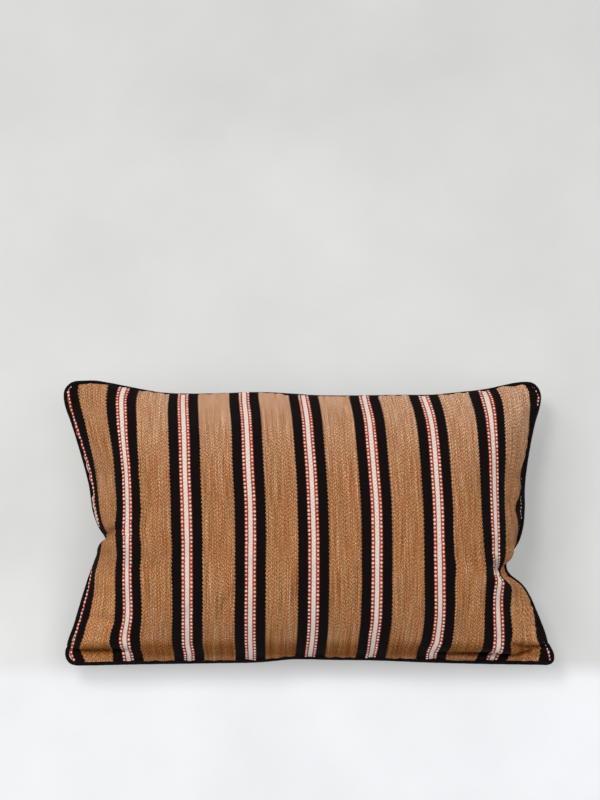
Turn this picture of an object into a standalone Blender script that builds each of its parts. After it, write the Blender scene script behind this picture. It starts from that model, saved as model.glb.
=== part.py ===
"""Filled lumbar cushion in a striped cover with a corded edge, lying on its back.

Two closed bodies: the filled cushion, whose front and back panels meet on the
seam, and the round piping that follows the seam just outside it. The drawn-in
sides, the pinched notch on each side, the crown and the main folds are all in
the two panels.

The tables are in millimetres on the face: x to the right, y up the stripes,
z out of the face, with z = 0 on the seam. The finished bodies are in metres,
with the origin under the middle of their box and the flat spot at z = 0.
"""
import bmesh
import bpy
import numpy as np

MM = 0.001

# Crown above the seam and depth below it
FRONT_CROWN = 72.0
BACK_DEPTH = 54.0
FLAT_DEPTH = 47.0
FLAT_EASING = 5.0

# Piping: a cord in bias cloth
PIPING_RADIUS = 2.6
PIPING_GAP = 0.3
PIPING_SIDES_SETTING = 2

# Seam line of the face, as x and y. Each side starts and ends at the middle
# of a rounded corner, which the next side shares.
LEFT_SEAM = (
    (-289.0, -168.5), (-290.8, -162.0), (-289.0, -150.0), (-282.5, -134.0),
    (-271.5, -95.0), (-262.0, -64.0), (-254.0, -45.0), (-246.0, -31.5),
    (-242.0, -23.5), (-246.0, -15.5), (-253.0, -5.0), (-260.0, 14.0),
    (-265.0, 44.0), (-275.5, 84.0), (-288.5, 125.0), (-296.5, 144.0),
    (-299.5, 156.0), (-299.0, 163.0), (-295.5, 168.5),
)
RIGHT_SEAM = (
    (297.5, -169.5), (297.5, -163.0), (292.5, -153.0), (285.5, -134.0),
    (270.5, -95.0), (266.0, -86.0), (259.0, -77.0), (251.0, -70.0),
    (243.5, -63.5), (239.5, -55.0), (242.0, -45.0), (248.0, -37.0),
    (257.0, -23.5), (262.0, -8.0), (264.5, 14.0), (265.5, 44.0),
    (271.5, 84.0), (280.5, 125.0), (286.5, 144.0), (288.5, 154.0),
    (287.8, 162.0), (284.0, 168.0),
)
BOTTOM_SEAM = (
    (-289.0, -168.5), (-284.0, -171.3), (-270.0, -171.8), (-200.0, -170.5),
    (-110.0, -169.0), (-20.0, -166.0), (80.0, -166.0), (150.0, -168.5),
    (215.0, -170.0), (285.0, -171.0), (294.0, -171.2), (297.5, -169.5),
)
TOP_SEAM = (
    (-295.5, 168.5), (-290.0, 171.5), (-282.0, 172.0), (-266.0, 172.0),
    (-248.0, 169.0), (-213.0, 162.0), (-180.0, 156.5), (-125.0, 155.0),
    (-55.0, 156.5), (-20.0, 155.0), (15.0, 153.0), (120.0, 153.0),
    (157.0, 153.5), (190.0, 157.0), (225.0, 161.5), (260.0, 169.3),
    (272.0, 171.0), (279.0, 170.7), (284.0, 168.0),
)

# How far in from the side seams the face takes to reach its crown:
# height on the side, reach from the left seam, reach from the right seam
SIDE_REACH = (
    (-170.0, 78.0, 52.0),
    (-117.0, 66.0, 40.0),
    (-75.0, 34.0, 12.0),
    (-30.0, 12.0, 14.0),
    (15.0, 26.0, 24.0),
    (60.0, 30.0, 28.0),
    (105.0, 30.0, 28.0),
    (172.0, 30.0, 28.0),
)
DOME_SHARE = 0.11
DOME_REACH = 140.0
BOTTOM_REACH = 27.0
TOP_REACH = 35.0
BACK_REACH_FACTOR = 1.5
BACK_SIDE_EXTRA = 16.0
BACK_END_REACH = 36.0

# Where the face bulges out over the piping: middle of the bulge along its
# seam, half width, overhang
LEFT_BULGES = ((-28.0, 12.0, 10.0),)
RIGHT_BULGES = ((-46.5, 12.0, 11.5),)
BULGE_STARTS_AT = 4.0
BULGE_FULL_AT = 18.0
BULGE_FADES_AT = 55.0

# Creases of each panel: start on the seam, end inside the panel, share of
# the local height that the crease takes away, half width
FRONT_CREASES = (
    ((-297.0, -158.0), (-205.0, -159.5), 0.66, 4.8),
    ((288.0, -153.0), (225.0, -144.0), 0.54, 4.8),
    ((284.0, -153.0), (210.0, -168.5), 0.58, 4.2),
    ((246.0, -63.0), (214.0, -58.0), 0.50, 6.0),
    ((-246.0, -25.0), (-222.0, -10.0), 0.34, 6.0),
    ((-292.0, -128.0), (-236.0, -147.0), 0.14, 9.0),
    ((-262.0, 150.0), (-200.0, 112.0), 0.07, 13.0),
    ((262.0, 147.0), (205.0, 108.0), 0.08, 13.0),
)
BACK_CREASES = (
    ((-290.0, -163.0), (-220.0, -150.0), 0.32, 8.0),
    ((292.0, -160.0), (228.0, -146.0), 0.30, 8.0),
    ((246.0, -57.0), (208.0, -50.0), 0.40, 8.0),
    ((-246.0, -24.0), (-212.0, -30.0), 0.34, 8.0),
    ((-290.0, 160.0), (-226.0, 128.0), 0.20, 12.0),
    ((280.0, 160.0), (218.0, 126.0), 0.20, 12.0),
)

# Soft dents where the side wall is drawn in: x, y, radius, share of height
FRONT_DENTS = (
    (263.0, 49.0, 12.0, 0.26),
    (258.0, 18.0, 14.0, 0.34),
    (-262.0, 52.0, 16.0, 0.12),
    (-268.0, -82.0, 18.0, 0.12),
)

# Uneven filling: x, y, radius, height
FRONT_LUMPS = (
    (-130.0, -50.0, 75.0, 2.6),
    (40.0, 30.0, 90.0, -2.2),
    (150.0, -70.0, 70.0, 2.4),
    (-190.0, 70.0, 60.0, 1.6),
    (10.0, -115.0, 80.0, 1.8),
    (205.0, 80.0, 60.0, -1.8),
    (-60.0, 95.0, 70.0, 1.4),
)

# Waves of the seam out of its plane: how far each corner droops, how
# sharply the droop starts, and the ripple along the seam
CORNER_DROOP = 7.0
CORNER_SHARPNESS = 5
RIPPLE_HEIGHT = 1.6
RIPPLES_ALONG = 3.0
RIPPLES_UP = 2.0
RIPPLE_START_ALONG = 0.6
RIPPLE_START_UP = 1.1

# Mesh spacing along the panels
FIRST_STEP = 1.0
STEP_GROWTH = 0.28
WIDEST_STEP = 13.5
NOTCH_STEP = 6.5
NOTCH_HEIGHT = -42.0
NOTCH_BAND = 40.0
SAMPLES = 600
CURVE_STEPS = 24
SEAM_SHARP_DEGREES = 62.0

COVER_COLOUR = (0.38, 0.175, 0.078, 1.0)
COVER_ROUGHNESS = 0.9
PIPING_COLOUR = (0.011, 0.010, 0.012, 1.0)
PIPING_ROUGHNESS = 0.82


def clear_scene():
    """Remove every object, so that the script starts from nothing."""
    for item in list(bpy.data.objects):
        bpy.data.objects.remove(item, do_unlink=True)


def smoothstep(value):
    """Ease from 0 to 1."""
    held = np.clip(value, 0.0, 1.0)
    return held * held * (3.0 - 2.0 * held)


def eased_table(rows, column, where):
    """One column of a table, eased from row to row of its first column."""
    levels = rows[:, 0]
    index = np.clip(np.searchsorted(levels, where) - 1, 0, len(levels) - 2)
    run = (where - levels[index]) / (levels[index + 1] - levels[index])
    ease = smoothstep(run)
    return rows[index, column] * (1 - ease) + rows[index + 1, column] * ease


def bell(offset, width):
    """A soft bump of height 1 and the given half width."""
    return np.exp(-(offset / width) ** 2)


def traced(points):
    """A smooth line through the points, evenly spaced along its length."""
    knots = np.array(points)
    before = 2.0 * knots[0] - knots[1]
    after = 2.0 * knots[-1] - knots[-2]
    padded = np.vstack([before, knots, after])
    gaps = np.sqrt(np.linalg.norm(np.diff(padded, axis=0), axis=1))
    line = []
    for index in range(1, len(padded) - 2):
        p0, p1, p2, p3 = padded[index - 1:index + 3]
        g0, g1, g2 = gaps[index - 1:index + 2]
        leave = (p1 - p0) / g0 - (p2 - p0) / (g0 + g1) + (p2 - p1) / g1
        arrive = (p2 - p1) / g1 - (p3 - p1) / (g1 + g2) + (p3 - p2) / g2
        for step in np.linspace(0.0, 1.0, CURVE_STEPS, endpoint=False):
            square = step * step
            cube = square * step
            line.append(
                (2 * cube - 3 * square + 1) * p1
                + (cube - 2 * square + step) * g1 * leave
                + (3 * square - 2 * cube) * p2
                + (cube - square) * g1 * arrive
            )
    line.append(knots[-1])
    line = np.array(line)
    lengths = np.concatenate([[0.0], np.cumsum(np.linalg.norm(np.diff(line, axis=0), axis=1))])
    even = np.linspace(0.0, lengths[-1], SAMPLES)
    return np.column_stack([np.interp(even, lengths, line[:, axis]) for axis in (0, 1)])


def point_on(side, share):
    """Points of a traced side at the given shares of its length."""
    place = np.linspace(0.0, 1.0, len(side))
    return np.stack([np.interp(share, place, side[:, axis]) for axis in (0, 1)], axis=-1)


def stations(side, finer_at_notch):
    """Shares along a side, close together at its ends and at the notches."""
    length = np.sum(np.linalg.norm(np.diff(side, axis=0), axis=1))
    travelled = np.linspace(0.0, length, SAMPLES)
    from_end = np.minimum(travelled, length - travelled)
    spacing = np.minimum(FIRST_STEP + STEP_GROWTH * from_end, WIDEST_STEP)
    if finer_at_notch:
        near = bell(side[:, 1] - NOTCH_HEIGHT, NOTCH_BAND)
        spacing = np.minimum(spacing, WIDEST_STEP - near * (WIDEST_STEP - NOTCH_STEP))
    counted = np.concatenate([[0.0], np.cumsum(np.diff(travelled) / spacing[:-1])])
    steps = int(round(counted[-1]))
    return np.interp(np.linspace(0.0, counted[-1], steps + 1), counted, travelled) / length


class FrontRise:
    """How the front face rises with the distance from each seam."""

    @staticmethod
    def side(distance, reach):
        """A steep wall beside the seam, then a broad dome."""
        wall = (1 - DOME_SHARE) * np.exp(-distance / reach)
        return 1 - wall - DOME_SHARE * bell(distance, DOME_REACH)

    @staticmethod
    def bottom(distance):
        """The turn-under along the bottom seam."""
        return 1 - np.exp(-distance / BOTTOM_REACH)

    @staticmethod
    def top(distance):
        """The longer slope down to the top seam."""
        return 1 - np.exp(-distance / TOP_REACH)


class BackRise:
    """How the back, pressed down by its own weight, rises from each seam."""

    @staticmethod
    def side(distance, reach):
        """A rounder wall than the front's."""
        return 1 - np.exp(-distance / (reach * BACK_REACH_FACTOR + BACK_SIDE_EXTRA))

    @staticmethod
    def bottom(distance):
        """An even slope up from the bottom seam."""
        return 1 - np.exp(-distance / BACK_END_REACH)

    @staticmethod
    def top(distance):
        """An even slope up from the top seam."""
        return 1 - np.exp(-distance / BACK_END_REACH)


class Panel:
    """The seam's four sides and every point of a panel between them."""

    def __init__(self):
        self.left = traced(LEFT_SEAM)
        self.right = traced(RIGHT_SEAM)
        self.bottom = traced(BOTTOM_SEAM)
        self.top = traced(TOP_SEAM)
        self.across, self.up = np.meshgrid(
            stations(self.bottom, finer_at_notch=False),
            stations(self.left, finer_at_notch=True),
        )
        self.plan = self.lay_out()
        self.seam_height = self.wave()

    def lay_out(self):
        """Plan positions: the four sides blended across the panel."""
        a = self.across[..., None]
        t = self.up[..., None]
        sides = (1 - a) * point_on(self.left, self.up) + a * point_on(self.right, self.up)
        ends = (1 - t) * point_on(self.bottom, self.across) + t * point_on(self.top, self.across)
        corners = (
            (1 - a) * (1 - t) * self.bottom[0]
            + a * (1 - t) * self.bottom[-1]
            + (1 - a) * t * self.top[0]
            + a * t * self.top[-1]
        )
        return sides + ends - corners

    def wave(self):
        """How far the seam leaves its plane, blended across the panel."""
        towards_side = np.abs(2 * self.across - 1) ** CORNER_SHARPNESS
        towards_end = np.abs(2 * self.up - 1) ** CORNER_SHARPNESS
        ripple = np.sin(2 * np.pi * RIPPLES_ALONG * self.across + RIPPLE_START_ALONG)
        ripple = ripple + np.sin(2 * np.pi * RIPPLES_UP * self.up + RIPPLE_START_UP)
        return RIPPLE_HEIGHT * ripple - CORNER_DROOP * towards_side * towards_end

    def fullness(self, rise):
        """Share of the crown at every point, from the distance to each seam."""
        width = np.linalg.norm(
            point_on(self.right, self.up) - point_on(self.left, self.up), axis=-1)
        height = np.linalg.norm(
            point_on(self.top, self.across) - point_on(self.bottom, self.across), axis=-1)
        rows = np.array(SIDE_REACH)
        level = self.plan[..., 1]
        left_reach = eased_table(rows, 1, level)
        right_reach = eased_table(rows, 2, level)
        from_left = rise.side(self.across * width, left_reach)
        from_right = rise.side((1 - self.across) * width, right_reach)
        from_bottom = rise.bottom(self.up * height)
        return from_left * from_right * from_bottom * rise.top((1 - self.up) * height)

    def creased(self, share, creases, dents):
        """Take the creases and dents out of the fullness."""
        x, y = self.plan[..., 0], self.plan[..., 1]
        for start, end, depth, half_width in creases:
            start, end = np.array(start), np.array(end)
            length = np.linalg.norm(end - start)
            along = (end - start) / length
            run = (x - start[0]) * along[0] + (y - start[1]) * along[1]
            aside = (y - start[1]) * along[0] - (x - start[0]) * along[1]
            past_start = np.minimum(run, 0.0)
            fade = 1 - smoothstep(run / length)
            share = share * (1 - depth * fade * bell(aside, half_width) * bell(past_start, half_width))
        for centre_x, centre_y, radius, depth in dents:
            share = share * (1 - depth * bell(np.hypot(x - centre_x, y - centre_y), radius))
        return share

    def bulged(self, height):
        """Plan positions with the sides swelling out over the piping."""
        plan = self.plan.copy()
        lifted = smoothstep((height - BULGE_STARTS_AT) / (BULGE_FULL_AT - BULGE_STARTS_AT))
        for seam, bulges, outward in (
            (self.left, LEFT_BULGES, -1.0),
            (self.right, RIGHT_BULGES, 1.0),
        ):
            inside = np.linalg.norm(self.plan - point_on(seam, self.up), axis=-1)
            near_seam = 1 - smoothstep(inside / BULGE_FADES_AT)
            for middle, half_width, overhang in bulges:
                push = overhang * bell(self.plan[..., 1] - middle, half_width)
                plan[..., 0] += outward * push * lifted * near_seam
        return plan

    def front(self):
        """Points of the front panel, in millimetres."""
        share = self.creased(self.fullness(FrontRise), FRONT_CREASES, FRONT_DENTS)
        height = FRONT_CROWN * share
        for x, y, radius, lump in FRONT_LUMPS:
            distance = np.hypot(self.plan[..., 0] - x, self.plan[..., 1] - y)
            height = height + lump * share * bell(distance, radius)
        plan = self.bulged(height)
        return np.dstack([plan, height + self.seam_height * (1 - share)])

    def back(self):
        """Points of the back panel, flat where the cushion rests."""
        share = self.creased(self.fullness(BackRise), BACK_CREASES, ())
        depth = BACK_DEPTH * share - self.seam_height * (1 - share)
        over = np.clip((depth - FLAT_DEPTH + FLAT_EASING) / (2 * FLAT_EASING), 0.0, 1.0)
        depth = np.minimum(depth, FLAT_DEPTH + FLAT_EASING) - FLAT_EASING * over * over
        return np.dstack([self.plan, -depth])

    def rim(self):
        """Grid positions of the seam, once round, anticlockwise."""
        rows, columns = self.up.shape
        ring = [(0, column) for column in range(columns)]
        ring += [(row, columns - 1) for row in range(1, rows)]
        ring += [(rows - 1, column) for column in range(columns - 2, -1, -1)]
        ring += [(row, 0) for row in range(rows - 2, 0, -1)]
        return ring


def principled(name, colour, roughness):
    """A plain material with the piece's own colour."""
    material = bpy.data.materials.new(name)
    material.use_nodes = True
    shader = material.node_tree.nodes["Principled BSDF"]
    shader.inputs["Base Color"].default_value = colour
    shader.inputs["Roughness"].default_value = roughness
    shader.inputs["Metallic"].default_value = 0.0
    return material


def place(points, offset):
    """Millimetres on the face to metres in the object's frame."""
    return (np.asarray(points) + offset) * MM


def make_cushion(panel, offset):
    """The filled cushion: two panels closed along the seam."""
    front = place(panel.front(), offset)
    back = place(panel.back(), offset)
    rows, columns = panel.up.shape
    shared = set(panel.rim())
    bm = bmesh.new()
    front_vertex = {}
    back_vertex = {}
    for row in range(rows):
        for column in range(columns):
            key = (row, column)
            front_vertex[key] = bm.verts.new(front[row, column])
            back_vertex[key] = front_vertex[key] if key in shared else bm.verts.new(back[row, column])
    for row in range(rows - 1):
        for column in range(columns - 1):
            corners = [(row, column), (row, column + 1), (row + 1, column + 1), (row + 1, column)]
            bm.faces.new([front_vertex[key] for key in corners])
            bm.faces.new([back_vertex[key] for key in reversed(corners)])
    mesh = bpy.data.meshes.new("cushion")
    bm.to_mesh(mesh)
    bm.free()
    mesh.shade_smooth()
    mesh.set_sharp_from_angle(angle=np.radians(SEAM_SHARP_DEGREES))
    mesh.materials.append(principled("striped_cotton", COVER_COLOUR, COVER_ROUGHNESS))
    cushion = bpy.data.objects.new("cushion", mesh)
    bpy.context.scene.collection.objects.link(cushion)
    return cushion


def piping_line(panel):
    """Middle of the cord: the seam moved outwards, in millimetres."""
    seam = np.array([panel.front()[key] for key in panel.rim()])
    flat = seam[:, :2]
    ahead = np.roll(flat, -1, axis=0) - flat
    behind = flat - np.roll(flat, 1, axis=0)
    ahead = ahead / np.linalg.norm(ahead, axis=1, keepdims=True)
    behind = behind / np.linalg.norm(behind, axis=1, keepdims=True)
    out_ahead = np.column_stack([ahead[:, 1], -ahead[:, 0]])
    out_behind = np.column_stack([behind[:, 1], -behind[:, 0]])
    mitre = out_ahead + out_behind
    mitre = mitre / np.sum(mitre * out_ahead, axis=1, keepdims=True)
    seam[:, :2] += (PIPING_RADIUS + PIPING_GAP) * mitre
    return seam


def make_piping(line, offset):
    """The corded edge: one closed round tube along the seam."""
    curve = bpy.data.curves.new("piping", "CURVE")
    curve.dimensions = "3D"
    curve.bevel_depth = PIPING_RADIUS * MM
    curve.bevel_resolution = PIPING_SIDES_SETTING
    curve.resolution_u = 1
    spline = curve.splines.new("POLY")
    spline.points.add(len(line) - 1)
    for point, position in zip(spline.points, place(line, offset)):
        point.co = (*position, 1.0)
    spline.use_cyclic_u = True
    spline.use_smooth = True
    curve.materials.append(principled("piping_cotton", PIPING_COLOUR, PIPING_ROUGHNESS))
    piping = bpy.data.objects.new("piping", curve)
    bpy.context.scene.collection.objects.link(piping)
    return piping


def main():
    """Build both bodies around the middle of their box."""
    clear_scene()
    panel = Panel()
    line = piping_line(panel)
    low = line.min(axis=0) - PIPING_RADIUS
    high = line.max(axis=0) + PIPING_RADIUS
    offset = np.array([-(low[0] + high[0]) / 2, -(low[1] + high[1]) / 2, FLAT_DEPTH])
    make_cushion(panel, offset)
    make_piping(line, offset)


main()
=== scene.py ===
"""Looks of the striped lumbar cushion: woven cover, raised pick-up floats and corded edge.

The cover is two panels of one striped cotton, sewn together over a black piping
and filled. It lies on its back. Lengths in the tables are millimetres on the
face: x to the right, y up the stripes, z out of the face, with z = 0 on the
seam. Finished meshes are in metres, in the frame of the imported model.
"""
import logging
from dataclasses import dataclass
from enum import Enum

import bpy
import numpy as np
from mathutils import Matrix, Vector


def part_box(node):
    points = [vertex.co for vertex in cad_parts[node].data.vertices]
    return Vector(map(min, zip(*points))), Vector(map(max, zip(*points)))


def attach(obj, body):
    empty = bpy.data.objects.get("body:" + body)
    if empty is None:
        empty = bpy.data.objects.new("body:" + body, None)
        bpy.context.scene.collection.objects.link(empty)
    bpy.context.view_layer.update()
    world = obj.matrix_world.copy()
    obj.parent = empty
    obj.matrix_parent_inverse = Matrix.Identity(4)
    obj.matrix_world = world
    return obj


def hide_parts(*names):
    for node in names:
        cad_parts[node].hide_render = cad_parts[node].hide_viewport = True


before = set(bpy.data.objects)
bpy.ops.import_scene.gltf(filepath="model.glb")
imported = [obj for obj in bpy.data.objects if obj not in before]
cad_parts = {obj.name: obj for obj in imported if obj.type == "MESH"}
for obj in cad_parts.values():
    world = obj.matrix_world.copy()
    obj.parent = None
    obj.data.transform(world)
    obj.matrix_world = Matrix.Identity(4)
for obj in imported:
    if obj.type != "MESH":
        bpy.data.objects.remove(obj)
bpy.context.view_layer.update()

MM = 0.001
CLOTH_MAP = "Cloth"
BAKE_MAP = "OFBake"
BODY = "root"
TINY = 1e-6

# A blur reaches this many widths to each side, and its bell is this much wider
BLUR_TAIL = 3
BLUR_BELL = 1.4

log = logging.getLogger("striped_cushion")


class PanelSide(Enum):
    """The two panels of the cover."""

    FRONT = 1
    BACK = -1


class Slot(Enum):
    """Material slots of the record, by name; the pieces here do not read them."""

    COVER = "striped_cotton"
    PIPING = "piping_cotton"


# Shared helpers


def linear(code: str) -> tuple[float, float, float, float]:
    """Turn an sRGB hex colour into linear RGBA.

    Args:
        code: Six hex digits after a hash sign.

    Returns:
        Red, green, blue and alpha, from 0 to 1.
    """
    values = [int(code[index:index + 2], 16) / 255 for index in (1, 3, 5)]
    curved = [v / 12.92 if v <= 0.04045 else ((v + 0.055) / 1.055) ** 2.4 for v in values]
    return (*curved, 1.0)


def add(tree: bpy.types.NodeTree, kind: str, inputs: dict | tuple = (), **settings) -> bpy.types.Node:
    """Add a node with its settings, values and links.

    Args:
        tree: The node tree that gets the node.
        kind: The node's type name.
        inputs: A value, a node (its first output) or a socket for each input, in
            order or by the input's name or number.
        **settings: Properties of the node itself.

    Returns:
        The new node.
    """
    node = tree.nodes.new(kind)
    for name, value in settings.items():
        setattr(node, name, value)
    for key, value in inputs.items() if isinstance(inputs, dict) else enumerate(inputs):
        if isinstance(value, bpy.types.Node):
            value = value.outputs[0]
        if isinstance(value, bpy.types.NodeSocket):
            tree.links.new(value, node.inputs[key])
        else:
            node.inputs[key].default_value = value
    return node


def set_ramp(node: bpy.types.Node, stops: tuple[tuple[float, str], ...]) -> None:
    """Give a colour ramp its stops.

    Args:
        node: The Color Ramp node.
        stops: Position and sRGB hex colour of each stop, in rising order.
    """
    ramp = node.color_ramp
    while len(ramp.elements) < len(stops):
        ramp.elements.new(0.5)
    for element, (position, code) in zip(ramp.elements, stops):
        element.position = position
        element.color = linear(code)


def new_material(name: str) -> tuple[bpy.types.Material, bpy.types.NodeTree, bpy.types.Node]:
    """Start a material.

    Args:
        name: Name of the real material.

    Returns:
        The material, its node tree and its shader.
    """
    material = bpy.data.materials.new(name)
    material.use_nodes = True
    return material, material.node_tree, material.node_tree.nodes["Principled BSDF"]


def cloth_place(tree: bpy.types.NodeTree) -> bpy.types.Node:
    """Cloth coordinates in millimetres, from the piece's own map."""
    cloth_map = add(tree, "ShaderNodeUVMap", uv_map=CLOTH_MAP)
    return add(tree, "ShaderNodeVectorMath", {0: cloth_map, "Scale": 1 / MM}, operation="SCALE")


def finish_shader(tree: bpy.types.NodeTree, shader: bpy.types.Node, links: dict, values: dict) -> None:
    """Link a shader's changing inputs and set its constant ones.

    Args:
        tree: The material's node tree.
        shader: The material's shader.
        links: Input name to the socket that feeds it.
        values: Input name to its constant value.
    """
    for name, socket in links.items():
        tree.links.new(socket, shader.inputs[name])
    for name, value in values.items():
        shader.inputs[name].default_value = value


def smoothstep(value: np.ndarray) -> np.ndarray:
    """Ease from 0 to 1."""
    held = np.clip(value, 0.0, 1.0)
    return held * held * (3.0 - 2.0 * held)


def bell(offset: np.ndarray, width: float) -> np.ndarray:
    """A soft bump of height 1 and the given half width."""
    return np.exp(-(offset / width) ** 2)


def eased_table(rows: np.ndarray, column: int, where: np.ndarray) -> np.ndarray:
    """Read one column of a table, eased from row to row.

    Args:
        rows: The table, with its levels in the first column.
        column: The column to read.
        where: Levels to read it at.

    Returns:
        The column's value at each level.
    """
    levels = rows[:, 0]
    index = np.clip(np.searchsorted(levels, where) - 1, 0, len(levels) - 2)
    ease = smoothstep((where - levels[index]) / (levels[index + 1] - levels[index]))
    return rows[index, column] * (1 - ease) + rows[index + 1, column] * ease


def traced(points: tuple, samples: int = 600, steps: int = 24) -> np.ndarray:
    """Draw a smooth line through points and space it evenly.

    Args:
        points: Corner points of the line, as x and y.
        samples: Number of points of the finished line.
        steps: Curve points between two corner points.

    Returns:
        The line's points, one row each.
    """
    knots = np.array(points)
    padded = np.vstack([2.0 * knots[0] - knots[1], knots, 2.0 * knots[-1] - knots[-2]])
    gaps = np.sqrt(np.linalg.norm(np.diff(padded, axis=0), axis=1))
    line = []
    for index in range(1, len(padded) - 2):
        p0, p1, p2, p3 = padded[index - 1:index + 3]
        g0, g1, g2 = gaps[index - 1:index + 2]
        leave = (p1 - p0) / g0 - (p2 - p0) / (g0 + g1) + (p2 - p1) / g1
        arrive = (p2 - p1) / g1 - (p3 - p1) / (g1 + g2) + (p3 - p2) / g2
        for step in np.linspace(0.0, 1.0, steps, endpoint=False):
            square = step * step
            cube = square * step
            line.append(
                (2 * cube - 3 * square + 1) * p1
                + (cube - 2 * square + step) * g1 * leave
                + (3 * square - 2 * cube) * p2
                + (cube - square) * g1 * arrive
            )
    line.append(knots[-1])
    line = np.array(line)
    lengths = arc_length(line)
    even = np.linspace(0.0, lengths[-1], samples)
    return np.column_stack([np.interp(even, lengths, line[:, axis]) for axis in (0, 1)])


def point_on(side: np.ndarray, share: np.ndarray) -> np.ndarray:
    """Points of a traced side at the given shares of its length."""
    place = np.linspace(0.0, 1.0, len(side))
    return np.stack([np.interp(share, place, side[:, axis]) for axis in (0, 1)], axis=-1)


def arc_length(points: np.ndarray) -> np.ndarray:
    """Length travelled at each point of a line, starting at 0."""
    steps = np.linalg.norm(np.diff(points, axis=0), axis=-1)
    return np.concatenate([np.zeros((1,) + steps.shape[1:]), np.cumsum(steps, axis=0)])


def softened(values: np.ndarray, width: float, axes: tuple = (0, 1)) -> np.ndarray:
    """Even out a grid with a soft blur.

    Args:
        values: Grid of numbers or vectors.
        width: Blur width in grid steps.
        axes: Grid directions to blur along.

    Returns:
        The blurred grid, of the same shape.
    """
    reach = int(np.ceil(BLUR_TAIL * width))
    weights = bell(np.arange(-reach, reach + 1), BLUR_BELL * width)
    weights = weights / weights.sum()
    result = values
    for axis in axes:
        moved = np.moveaxis(result, axis, 0)
        ends = ((reach, reach),) + ((0, 0),) * (moved.ndim - 1)
        wide = np.pad(moved, ends, mode="edge")
        blurred = sum(w * wide[k:k + len(moved)] for k, w in enumerate(weights))
        result = np.moveaxis(blurred, 0, axis)
    return result


def mesh_object(name: str, points: np.ndarray, faces: np.ndarray) -> bpy.types.Object:
    """Make a mesh object from points and quads.

    Args:
        name: Name of the object and its mesh.
        points: Places in metres, one row each.
        faces: Point numbers of each quad, one row each.

    Returns:
        The object, linked to the scene.
    """
    mesh = bpy.data.meshes.new(name)
    mesh.from_pydata(points.tolist(), [], faces.tolist())
    mesh.update()
    piece = bpy.data.objects.new(name, mesh)
    bpy.context.scene.collection.objects.link(piece)
    return piece


def write_map(mesh: bpy.types.Mesh, name: str, corners: np.ndarray) -> None:
    """Write a UV map from one pair of coordinates for each face corner."""
    layer = mesh.uv_layers.new(name=name)
    layer.data.foreach_set("uv", corners.astype(np.float32).ravel())


# The filled form


@dataclass(frozen=True)
class Crease:
    """A fold of a panel that runs inwards from the seam and fades out.

    Its tuck is how far the cloth above it lies over it, and its upper share
    how wide it is on that side, as a share of its half width.
    """

    start: tuple[float, float]
    end: tuple[float, float]
    depth: float
    half_width: float
    tuck: float = 0.0
    upper_share: float = 1.0


@dataclass(frozen=True)
class Dent:
    """A soft dent: place, radius and share of the local height."""

    x: float
    y: float
    radius: float
    depth: float


@dataclass(frozen=True)
class Lump:
    """Uneven filling: place, radius and height."""

    x: float
    y: float
    radius: float
    height: float


@dataclass(frozen=True)
class Bulge:
    """A stretch of the face that swells over the piping."""

    middle: float
    half_width: float
    overhang: float


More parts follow.
